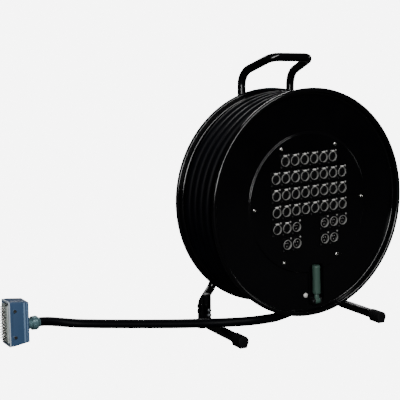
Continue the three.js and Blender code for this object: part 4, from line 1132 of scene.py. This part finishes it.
@dataclass
class Flange:
    """A pressed flange: a rolled rim, a dished web and a raised middle, turned about Y."""

    rim: float = 245.0
    bead: float = 5.0
    web: float = 11.0
    sheet: float = 2.0
    plateau: float = 152.0
    plateau_rise: float = 3.0
    curl: float = 4.0
    steps: int = 240
    spacing: float = 160.0
    hub_hole: float = 18.9
    stud_circle: float = 143.0
    pocket: tuple[float, float] = (14.0, -185.0)

    def section(self, inner: float) -> np.ndarray:
        """Closed section from the middle out along the front, round the bead and back along the rear.

        Args:
            inner: radius where the section starts, 0 for a whole disc.

        Returns:
            The section's points of (radius, y).
        """
        step = np.linspace(0.0, 1.0, 9)
        ease = np.clip((7 * step - 2.4) / 2.2, 0.0, 1.0)
        front_step = np.stack([self.plateau - 1 + 7 * step, self.web - self.plateau_rise * (1 - ease)], axis=-1)
        back_step = front_step[::-1] + np.array([-0.6, self.sheet])
        centre = (self.rim - self.bead - self.curl, self.web - self.curl)
        inside_curl = arc(centre, self.curl, 90, 0, 9)
        outside_curl = arc(centre, self.curl + self.sheet, 8, 90, 9)
        bead = arc((self.rim, 0.0), self.bead, 180, 480, 33)[1:]
        start, end = [[inner, self.top()]], [[inner, self.top() + self.sheet]]
        return np.concatenate([start, front_step, inside_curl, bead, outside_curl, back_step, end])

    def top(self) -> float:
        """Place of the raised middle's front."""
        return self.web - self.plateau_rise

    def pocket_opening(self) -> Surface:
        """Tool that opens the front flange for the crank's pocket."""
        return prism(rectangle(20.5, 48.4, 13.5, 8) + np.array(self.pocket), -6, 30)

    def front(self) -> Surface:
        """The front flange, without a hub hole and with the opening for the crank."""
        return on_drum(carved(revolve(self.section(0.0), self.steps), self.pocket_opening()))

    def rear(self) -> Surface:
        """The rear flange, the same pressing turned round, with a hole for the hub."""
        profile = self.section(self.hub_hole) * np.array([1.0, -1.0]) + np.array([0.0, self.spacing])
        return on_drum(revolve(profile, self.steps, closed=True))

    def stud_places(self, y: float) -> np.ndarray:
        """Places of the six studs at one y, as k x 3."""
        angle = circle(6)
        return np.stack([self.stud_circle * np.cos(angle), np.full(6, y), self.stud_circle * np.sin(angle)], axis=-1)

    def stud_heads(self, rear: bool) -> Surface:
        """Six domed heads with a cross recess.

        Args:
            rear: whether they sit on the rear flange.

        Returns:
            The piece, in the part's own frame.
        """
        head = revolve([(0, 2.8), (1.7, 2.6), (3.0, 2.1), (3.9, 1.3), (4.3, 0.5), (4.3, 0.0), (0, 0.0)], 28)
        head = carved(head, prism(cross(2.1, 0.4), 1.6, 6))
        if rear:
            return on_drum(head.copies(self.stud_places(self.spacing - self.top() + 0.3)))
        return on_drum(head.turned("X", 180).copies(self.stud_places(self.top() - 0.3)))

    def stud_ring(self, rear: bool) -> Surface:
        """The ring inside the barrel's lip that the studs stand on, with their shanks.

        Args:
            rear: whether it sits behind the rear flange.

        Returns:
            The piece, in the part's own frame.
        """
        low, start = (self.spacing - 14.9, self.spacing - 15.0) if rear else (12.9, 7.6)
        reach = (self.stud_circle - 5.0, self.stud_circle + 4.0)
        body = revolve(ring_profile(*reach, low, low + 2, 0.3), 120, closed=True)
        if not rear:
            body = carved(body, self.pocket_opening())
        return on_drum(Surface.joined([body, cylinder(2.5, 0, 7.2, 14).copies(self.stud_places(start))]))

    def build(self) -> None:
        """Makes both flanges and their studs."""
        make("front_pressing", self.front(), ENAMEL, "drum", "gloss_black_paint", "front_flange", "front_rim")
        make("rear_pressing", self.rear(), ENAMEL, "drum", "gloss_black_paint", "rear_flange")
        for side, rear in (("front", False), ("rear", True)):
            make(f"{side}_stud_heads", self.stud_heads(rear), NICKEL, "drum", "bright_nickel")
            make(f"{side}_studs", self.stud_ring(rear), NICKEL, "drum", "bright_nickel", f"{side}_stud_ring")


@dataclass
class SocketField:
    """Thirty-two female and eight male chassis sockets in the front flange's raised middle."""

    pitch_x: float = 25.15
    pitch_z: float = 36.2
    top_row: float = 97.0
    middle_column: float = 4.5
    female: tuple = ((2, 7, 1), (1, 8, 2), (1, 8, 3), (1, 8, 4), (1, 2, 5))
    male: tuple = ((3, 3, 5), (2, 3, 6), (6, 8, 5), (6, 7, 6))
    face: float = 6.1
    plate: float = 1.6
    half_x: float = 12.4
    half_z: float = 15.5
    ring: float = 10.5
    bore: float = 9.6
    rise: float = 2.4
    contact_circle: float = 3.9
    screw_at: tuple[float, float] = (9.8, 13.0)

    def places(self, runs: tuple) -> np.ndarray:
        """Centres of the sockets of some runs, as k x 3.

        Args:
            runs: first column, last column and row of each run.

        Returns:
            One point for each socket, in the drum's frame.
        """
        cells = [(column, row) for first, last, row in runs for column in range(first, last + 1)]
        grid = np.array(cells, dtype=float)
        x = (grid[:, 0] - self.middle_column) * self.pitch_x
        z = self.top_row - (grid[:, 1] - 1) * self.pitch_z
        return np.stack([x, np.zeros(len(grid)), z], axis=-1)

    def set_in(self, surface: Surface, runs: tuple) -> Surface:
        """Puts a copy of one socket's piece at each place of some runs."""
        return on_drum(surface.copies(self.places(runs)))

    def contact_places(self, degrees: tuple[float, ...]) -> np.ndarray:
        """Places of a socket's contacts about its middle, as k x 3."""
        angle = np.radians(degrees)
        return self.contact_circle * np.stack([np.cos(angle), np.zeros(len(angle)), np.sin(angle)], axis=-1)

    def plates(self, runs: tuple, latched: bool) -> Surface:
        """Black cast flanges with rounded corners and a seat for the ring.

        Args:
            runs: the sockets that get one.
            latched: whether each has a slot for a latch tab.

        Returns:
            The piece, in the part's own frame.
        """
        body = prism(rectangle(self.half_x, self.half_z, 3.0), self.face, self.face + self.plate, 0.35)
        tools = [cylinder(self.bore + 0.6, 0, 12, 40)]
        if latched:
            tools.append(prism(rectangle(4.95, 2.0, 0.5) + np.array([0, 14.2]), 0, 20))
        barrel = ring_profile(self.bore + 0.5, 11.2, self.face + self.plate, 26.0, 0.3)
        return self.set_in(Surface.joined([carved(body, *tools), revolve(barrel, 32, closed=True)]), runs)

    def rings(self, runs: tuple) -> Surface:
        """Bright rings round the bores, with a rounded lip that stands proud of the flange.

        Args:
            runs: the sockets that get one.

        Returns:
            The piece, in the part's own frame.
        """
        front, back, seat = self.face - self.rise, self.face - 0.1, self.bore + 0.5
        corners = [(self.bore, front), (self.ring, front), (self.ring, back), (seat, back), (seat, 19.0),
                   (self.bore, 19.0)]
        return self.set_in(revolve(rounded_profile(corners, 0.9, 4), 40, closed=True), runs)

    def female_blocks(self) -> Surface:
        """Insulating blocks with three contact holes and a key rib at the top.

        Returns:
            The piece, in the part's own frame.
        """
        front = self.face - 1.2
        body = revolve([(0, front), (7.0, front), (7.6, front + 0.5), (7.6, 20), (0, 20)], 36)
        holes = cylinder(1.5, 0, 16, 14).copies(self.contact_places((-135.0, -45.0, 90.0)))
        key = prism(rectangle(1.3, 1.3, 0.3, 3) + np.array([0, 8.2]), front + 0.4, 20, 0.2)
        floor = cylinder(9.9, 19.6, 20.6, 32)
        return self.set_in(Surface.joined([carved(body, holes), key, floor]), self.female)

    def male_blocks(self) -> Surface:
        """Floors of the male sockets."""
        floor = rounded_profile([(0, 20.0), (9.4, 20.0), (9.4, 26.0), (0, 26.0)], 0.4, 3, closed=False)
        return self.set_in(revolve(floor, 36), self.male)

    def pins(self) -> Surface:
        """Three round-nosed contacts in each male socket."""
        pin = revolve([(0, 7.6), (0.6, 7.7), (1.0, 8.4), (1.0, 20.2), (0, 20.2)], 14)
        return self.set_in(pin.copies(self.contact_places((45.0, 135.0, 270.0))), self.male)

    def screws(self, sign: float) -> Surface:
        """Small countersunk heads with a cross recess, in one corner of each flange.

        Args:
            sign: 1 for the upper right corner, -1 for the lower left.

        Returns:
            The piece, in the part's own frame.
        """
        head = revolve([(0, -0.9), (1.2, -0.8), (1.9, -0.35), (2.1, 0.1), (0, 0.1)], 18)
        head = carved(head, prism(cross(1.3, 0.28), -3, -0.45))
        x, z = self.screw_at
        return self.set_in(head.moved(sign * x, self.face - 0.05, sign * z), self.female + self.male)

    def latch_tabs(self, run: tuple) -> Surface:
        """Press-in tabs over one row of female sockets, with two finger ridges each.

        Args:
            run: the row's first column, last column and row.

        Returns:
            The piece, in the part's own frame.
        """
        body = prism(rectangle(4.0, 1.5, 1.2, 4), 2.4, 4.6, 0.4)
        stem = prism(rectangle(3.6, 1.1, 0.3, 3), 4.5, 6.3)
        ridge = prism(rectangle(3.0, 0.22, 0.1, 2), 2.1, 2.5)
        tab = Surface.joined([body, stem, ridge.moved(z=0.55), ridge.moved(z=-0.55)])
        return self.set_in(tab.moved(x=-0.6, z=12.4), (run,))

    def build(self) -> None:
        """Makes the sockets."""
        female, male = self.plates(self.female, True), self.plates(self.male, False)
        shells = ("male_shells_left", "male_shells_right")
        make("female_flanges", female, BLACK_CAST, "drum", "black_plastic", "female_shells")
        make("male_flanges", male, BLACK_CAST, "drum", "black_plastic", *shells)
        make("female_rings", self.rings(self.female), RING, "drum", "bright_nickel")
        make("male_rings", self.rings(self.male), RING, "drum", "bright_nickel")
        make("female_blocks", self.female_blocks(), BLOCK_PLASTIC, "drum", "black_plastic", "female_inserts")
        make("male_blocks", self.male_blocks(), BLOCK_PLASTIC, "drum", "black_plastic", "male_inserts")
        make("male_pins", self.pins(), SATIN, "drum", "bright_nickel")
        make("bright_socket_screws", self.screws(1.0), RING, "drum", "bright_nickel")
        # The lower-left screws are the same as the upper-right ones; their black finish is painted shade
        make("painted_shade_socket_screws", self.screws(-1.0), BLACK_SCREW, "drum", "black_fastener")
        for run in self.female:
            body, node = f"latch_row_{run[2]}", f"latch_tabs_row_{run[2]}"
            make(f"latches_row_{run[2]}", self.latch_tabs(run), SATIN, body, "bright_nickel", node)


@dataclass
class Crank:
    """Folding crank: pocket, bracket, pin, spindle and turning grip. It stands upright in its pocket at rest."""

    side: float = 14.0
    depth: float = 9.0
    pivot: float = -222.5
    pocket_top: float = -138.0
    pocket_bottom: float = -232.0
    half_width: float = 19.0
    corner: float = 12.0
    floor: float = 19.5
    sheet: float = 1.2
    grip_ends: tuple[float, float] = (16.1, 80.6)
    stud_at: tuple[float, float] = (-15.0, -206.0)

    def outline(self, grow: float) -> np.ndarray:
        """The pocket's outline, grown outwards.

        Args:
            grow: how far outwards.

        Returns:
            The outline's points of (x, z), in the drum's frame.
        """
        middle = (self.pocket_top + self.pocket_bottom) / 2
        half = (self.pocket_top - self.pocket_bottom) / 2
        return rectangle(self.half_width + grow, half + grow, self.corner + grow, 9) + np.array([self.side, middle])

    def pocket(self) -> Surface:
        """The pressed pocket, open to the front, with a lip behind the flange.

        Returns:
            The piece, in the part's own frame.
        """
        body = prism(self.outline(self.sheet), 8.0, self.floor + self.sheet, 0.6)
        lip = prism(self.outline(self.sheet + 2.3), 13.35, 14.5)
        return on_drum(carved(boolean(body, lip, "UNION"), prism(self.outline(0.0), 0.0, self.floor, 1.5)))

    def at_pivot(self, surface: Surface) -> Surface:
        """Moves a piece laid out about the pivot to the drum's frame."""
        return surface.moved(self.side, self.depth, self.pivot)

    def along_z(self, profile: Outline, steps: int, closed: bool = False) -> Surface:
        """Carries a profile of (radius, height over the pivot) round the crank's own axis."""
        return self.at_pivot(revolve(profile, steps, closed).turned("X", 90))

    def along_x(self, profile: Outline, steps: int) -> Surface:
        """Carries a profile of (radius, x) round the pivot's axis."""
        return self.at_pivot(revolve(profile, steps).turned("Z", -90))

    def bored(self, body: Surface, radius: float) -> Surface:
        """Takes the pin's bore out of a piece and puts the piece on the drum."""
        return on_drum(carved(body, self.along_x([(0, -14), (radius, -14), (radius, 14), (0, 14)], 20)))

    def grip(self) -> Surface:
        """The turning grip: a slightly waisted sleeve with rounded ends.

        Returns:
            The piece, in the part's own frame.
        """
        start, end = self.grip_ends
        t = np.linspace(0.0, 1.0, 25)
        outside = np.stack([8.7 + 0.3 * (2 * t - 1) ** 2, start + 1.5 + (end - start - 3.0) * t], axis=-1)
        corners = [(4.8, start), (7.6, start), (8.5, start + 0.6), *outside.tolist(), (8.5, end - 0.6), (7.6, end),
                   (6.9, end), (6.9, end - 4.2), (4.8, end - 4.2)]
        return on_drum(self.along_z(corners, 48, True))

    def spindle(self) -> Surface:
        """Neck, rod and riveted head of the spindle, on a flat-sided knuckle.

        Returns:
            The piece, in the part's own frame.
        """
        neck = [(0, 4.0), (5.6, 4.0), (5.6, 13.5), (4.9, 15.6), (4.1, 15.7), (4.1, 76.4), (6.2, 76.4), (6.2, 79.0),
                (5.2, 80.0), (0, 80.3)]
        knuckle = rounded_profile([(0, -6), (7, -6), (7, 6), (0, 6)], 0.8, 4, closed=False)
        return self.bored(boolean(self.along_z(neck, 32), self.along_x(knuckle, 32), "UNION"), 3.0)

    def bracket(self) -> Surface:
        """Two ears with rounded tops on a foot.

        Returns:
            The piece, in the part's own frame.
        """
        body = prism(rectangle(10, 7, 1.0), 17.2, 19.2, 0.3).moved(self.side, 0, self.pivot)
        outline = rounded_profile([(-7, -7), (9.3, -7), (9.3, 7), (-7, 7)], 4.5, 6)
        for side in (-1, 1):
            ear = prism(outline, *sorted((side * 7.0, side * 10.0)), 0.3)
            across = Surface(ear.points[:, [1, 0, 2]], ear.loops, ear.sizes)
            body = boolean(body, self.at_pivot(across), "UNION")
        return self.bored(body, 2.8)

    def pin(self) -> Surface:
        """The pivot pin with domed heads."""
        half = [(0, -12.4), (3.0, -12.2), (4.4, -11.4), (4.5, -10.4), (2.5, -10.4)]
        return on_drum(self.along_x(half + [(r, -x) for r, x in reversed(half)], 24))

    def stud(self) -> Surface:
        """The bright dome beside the pocket.

        Returns:
            The piece, in the part's own frame.
        """
        dome = [(0, 6.7), (2.2, 6.85), (4.0, 7.6), (5.1, 8.9), (5.5, 10.2), (5.5, 10.7), (3.0, 10.7), (3.0, 14.5),
                (0, 14.5)]
        x, z = self.stud_at
        return on_drum(revolve(dome, 32).moved(x, 0.0, z))

    def build(self) -> None:
        """Makes the crank."""
        make("pressed_pocket", self.pocket(), ENAMEL_DULL, "drum", "gloss_black_paint", "crank_pocket")
        make("pocket_dome", self.stud(), SATIN, "drum", "bright_nickel", "pocket_stud")
        make("pivot_bracket", self.bracket(), BLACK_SCREW, "drum", "zinc_plate", "crank_bracket")
        make("pivot_pin", self.pin(), STEEL, "drum", "axle_steel", "crank_pin")
        make("folding_spindle", self.spindle(), GRIP, "crank_fold", "grip_plastic", "crank_spindle")
        make("turning_grip", self.grip(), GRIP, "crank_grip", "grip_plastic", "crank_grip")


@dataclass
class Stand:
    """Bent tube with a handle, two floor tubes, the axle plate and the fasteners. z is from the floor."""

    tube_radius: float = 9.5
    foot_radius: float = 10.65
    spread: float = 187.0
    foot_front: float = -22.0
    stub: float = 138.0
    stub_top: float = 80.0
    leg: float = 158.45
    upright: float = 67.0
    upright_depth: float = 181.5
    plate_front: float = 167.7
    plate_thick: float = 4.0
    foot_height: float = 14.0
    bend: float = 16.0

    def tube(self, corners: np.ndarray, radii: list[float], radius: float, sides: int) -> Surface:
        """A tube bent at its corners, closed at both ends.

        Args:
            corners: the corners of its middle line.
            radii: bend radius of each inner corner.
            radius: the tube's own radius.
            sides: sides of its section.

        Returns:
            The piece, in the part's own frame.
        """
        path = bent_path(corners, radii, 14)
        ring = swept(path, *path_frames(path, np.array([1.0, 0.0, 0.0])), radius, sides)
        return on_stand(Surface.grid(ring, wrap_columns=True, caps=True))

    def frame(self) -> Surface:
        """One tube: leg, hip, upright, knee, crossbar and back down the other side.

        Returns:
            The piece, in the part's own frame.
        """
        side = [(self.spread, self.leg, 4.0), (self.spread, self.leg, 59.0), (151.0, 180.5, 82.5),
                (self.upright, self.upright_depth, 246.0), (self.upright, self.upright_depth, 573.5),
                (52.0, 82.0, 606.3)]
        left = np.array(side) * np.array([-1.0, 1.0, 1.0])
        radii = [self.bend, self.bend, 45.0, 38.0, 22.0]
        return self.tube(np.concatenate([left, side[::-1]]), radii + radii[::-1], self.tube_radius, 28)

    def floor_tube(self, sign: float) -> Surface:
        """A rail along the floor that bends up into the stub.

        Args:
            sign: -1 for the left one, 1 for the right.

        Returns:
            The piece, in the part's own frame.
        """
        x, z = sign * self.spread, self.foot_height
        corners = np.array([(x, self.foot_front + 3.3, z), (x, self.stub, z), (x, self.stub, self.stub_top)])
        return self.tube(corners, [self.bend], self.foot_radius, 32)

    def ferrule(self, sign: float) -> Surface:
        """Ribbed rubber sleeve with a flat sole, open for the tube.

        Args:
            sign: -1 for the left one, 1 for the right.

        Returns:
            The piece, in the part's own frame.
        """
        radius, sole, front = 12.5, self.foot_height, self.foot_front
        low = math.degrees(math.asin(sole * 0.45 / radius))
        outline = np.concatenate([arc((0.0, 0.0), radius, -low, 180 + low, 26), [(-8.0, -sole), (8.0, -sole)]])
        tools = [cylinder(11, front + 3, 40, 32)]
        for at in (-12.0, -6.0, 0.0):
            tools.append(revolve(ring_profile(12.0, 16, at, at + 1.6, 0.3), 40, closed=True))
        shaped = carved(prism(outline, front, front + 34, 1.2, 4), *tools)
        return on_stand(shaped.moved(sign * self.spread, 0.0, sole))

    def leg_cap(self, sign: float) -> Surface:
        """Rubber cup on a leg's lower end."""
        corners = [(0, 0), (11.9, 0), (13.2, 1.4), (13.2, 15.6), (12.4, 17), (10.1, 17), (10.1, 3.7), (0, 3.7)]
        return on_stand(revolve(corners, 36).turned("X", 90).moved(sign * self.spread, self.leg))

    def stub_plug(self, sign: float) -> Surface:
        """Domed plastic plug in the top of a stub."""
        corners = [(0, 0.2), (10.4, 0.2), (10.6, 0.7), (10.0, 1.8), (8.0, 2.7), (4.0, 3.2), (0, 3.3)]
        return on_stand(revolve(corners, 36).turned("X", 90).moved(sign * self.spread, self.stub, self.stub_top))

    def bolt(self, x: float, z: float, front: float, back: float, head: float = 5.5) -> Surface:
        """Hexagon bolt with its nut and washer along Y.

        Args:
            x: place across the stand.
            z: height over the floor.
            front: front face of what it holds.
            back: rear face of what it holds.
            head: corner radius of head and nut.

        Returns:
            The bolt in the part's frame.
        """
        shank = [(0, front - 6.3), (2.2, front - 6.3), (2.9, front - 5.6), (2.9, back + 1), (0, back + 1)]
        parts = [prism(hexagon(head), back + 0.3, back + 4.3, 0.5), cylinder(head + 1.4, back + 0.02, back + 0.9, 24),
                 revolve(shank, 18), prism(hexagon(head), front - 4.3, front - 0.3, 0.5)]
        return on_stand(Surface.joined(parts).moved(x, 0.0, z))

    def plate(self) -> Surface:
        """The cross plate behind the drum."""
        outline, back = rectangle(88, 42, 14, 8), self.plate_front + self.plate_thick
        return at_axle(prism(outline, self.plate_front, back, 0.6))

    def build(self) -> None:
        """Makes the stand."""
        make("bent_frame", self.frame(), ENAMEL, "stand", "gloss_black_paint", "stand_frame")
        for sign, side in ((-1.0, "left"), (1.0, "right")):
            for name, surface, finish, slot, node in (
                ("floor_tube", self.floor_tube(sign), ENAMEL, "gloss_black_paint", "foot_tube"),
                ("rubber_ferrule", self.ferrule(sign), RUBBER, "black_rubber", "front_ferrule"),
                ("rubber_cap", self.leg_cap(sign), RUBBER, "black_rubber", "leg_cap"),
                ("stub_dome", self.stub_plug(sign), BLOCK_PLASTIC, "black_plastic", "stub_plug"),
            ):
                make(f"{name}_{side}", surface, finish, "stand", slot, f"{node}_{side}")
            for level, height, rise in (("lower", 36.0, -26.0), ("upper", 47.5, 26.0)):
                leg_ends = (self.stub - self.foot_radius, self.leg + self.tube_radius)
                plate_ends = (self.plate_front, self.upright_depth + self.tube_radius)
                for name, bolt, slot in (
                    ("leg", self.bolt(sign * self.spread, height, *leg_ends), "black_fastener"),
                    ("plate", self.bolt(sign * self.upright, AXLE_HEIGHT + rise, *plate_ends), "zinc_plate"),
                ):
                    node = f"{name}_bolt_{side}_{level}"
                    make(f"{name}_fastener_{side}_{level}", bolt, ZINC, "stand", slot, node)
        make("cross_plate", self.plate(), ENAMEL, "stand", "gloss_black_paint", "axle_plate")


@dataclass
class Axle:
    """Stub axle with its shoulder, threads, washers and nuts, about Y at the axle's height."""

    radius: float = 10.0
    thread: float = 8.0
    front_bush: float = 53.7
    shoulder: float = 156.6
    plate_front: float = 167.7
    plate_back: float = 171.7
    clearance: float = 0.3
    washer_thick: float = 2.0
    nut_thick: float = 12.0
    thread_end: float = 4.6

    def thread_ridges(self, start: float, end: float) -> list[tuple[float, float]]:
        """Shallow ridges of a thread between two places."""
        at = np.arange(start, end, 1.5)
        return [(float(r), float(y)) for y0 in at for r, y in ((self.thread, y0), (self.thread - 0.6, y0 + 0.75))]

    def nut(self, start: float) -> Surface:
        """Hexagon nut with chamfered corners."""
        body = prism(hexagon(15.0), start, start + self.nut_thick, 0.9, 4)
        return at_axle(carved(body, cylinder(8.25, start - 5, start + 20, 32)))

    def washer(self, start: float) -> Surface:
        """Plain washer with softened edges."""
        return at_axle(revolve(ring_profile(8.3, 17, start, start + self.washer_thick, 0.3), 40, closed=True))

    def axle(self) -> Surface:
        """The turned axle from its front thread to its rear one.

        Returns:
            The piece, in the part's own frame.
        """
        beyond = self.washer_thick + self.nut_thick + self.thread_end
        bush, radius, thread = self.front_bush, self.radius, self.thread
        front, rear, neck = bush - beyond, self.plate_back + beyond, self.plate_front - self.clearance
        profile = [(0, front), (7.0, front), *self.thread_ridges(front + 1, bush - 0.5), (thread, bush),
                   (radius - 0.5, bush), (radius, bush + 0.5), (radius, self.shoulder), (16.0, self.shoulder),
                   (16.0, neck), (thread, neck), *self.thread_ridges(self.plate_front, rear - 1), (7.0, rear),
                   (0, rear)]
        return at_axle(revolve(profile, 40))

    def build(self) -> None:
        """Makes the axle's pieces, each washer and nut with a small clearance."""
        gap = self.clearance
        front, rear = self.front_bush - gap - self.washer_thick, self.plate_back + gap
        make("turned_axle", self.axle(), STEEL, "stand", "axle_steel", "stub_axle")
        make("rear_washer", self.washer(rear), ZINC, "stand", "zinc_plate", "axle_washer")
        make("rear_nut", self.nut(rear + self.washer_thick + gap), ZINC, "stand", "zinc_plate", "axle_nut")
        make("front_washer", self.washer(front), ZINC, "stand", "zinc_plate", "retaining_washer")
        make("front_nut", self.nut(front - gap - self.nut_thick), ZINC, "stand", "zinc_plate", "retaining_nut")


HIDDEN_FINISHES = {
    "barrel": ENAMEL_DULL,
    "bulkhead": ZINC,
    "hub_tube": STEEL,
    "bush_front": BRONZE,
    "bush_rear": BRONZE,
    "loom_gland": ZINC,
    "loom_trunk": JACKET,
    "connector_loom": JACKET,
}


def dress_solids(nodes: dict[str, bpy.types.Object]) -> None:
    """Gives the solids that stay as they are their finishes.

    Args:
        nodes: the frame's solids by name.
    """
    for name, finish in HIDDEN_FINISHES.items():
        materials = nodes[name].data.materials
        materials.clear()
        materials.append(finish.material())
        LOG.info("%s dressed in %s", name, finish.name)


def main() -> None:
    """Loads the frame and makes the studio and every piece in order."""
    logging.basicConfig(level=logging.INFO, format="%(message)s")
    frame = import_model()
    studio = Studio()
    studio.camera()
    plug = Plug()
    plug.build()
    cable = Cable()
    cable.build_tail(plug.pieces)
    cable.build_winding()
    Flange().build()
    SocketField().build()
    Crank().build()
    Stand().build()
    Axle().build()
    dress_solids(frame["nodes"])
    studio.floor()
    studio.lights()


if __name__ == "__main__":
    main()
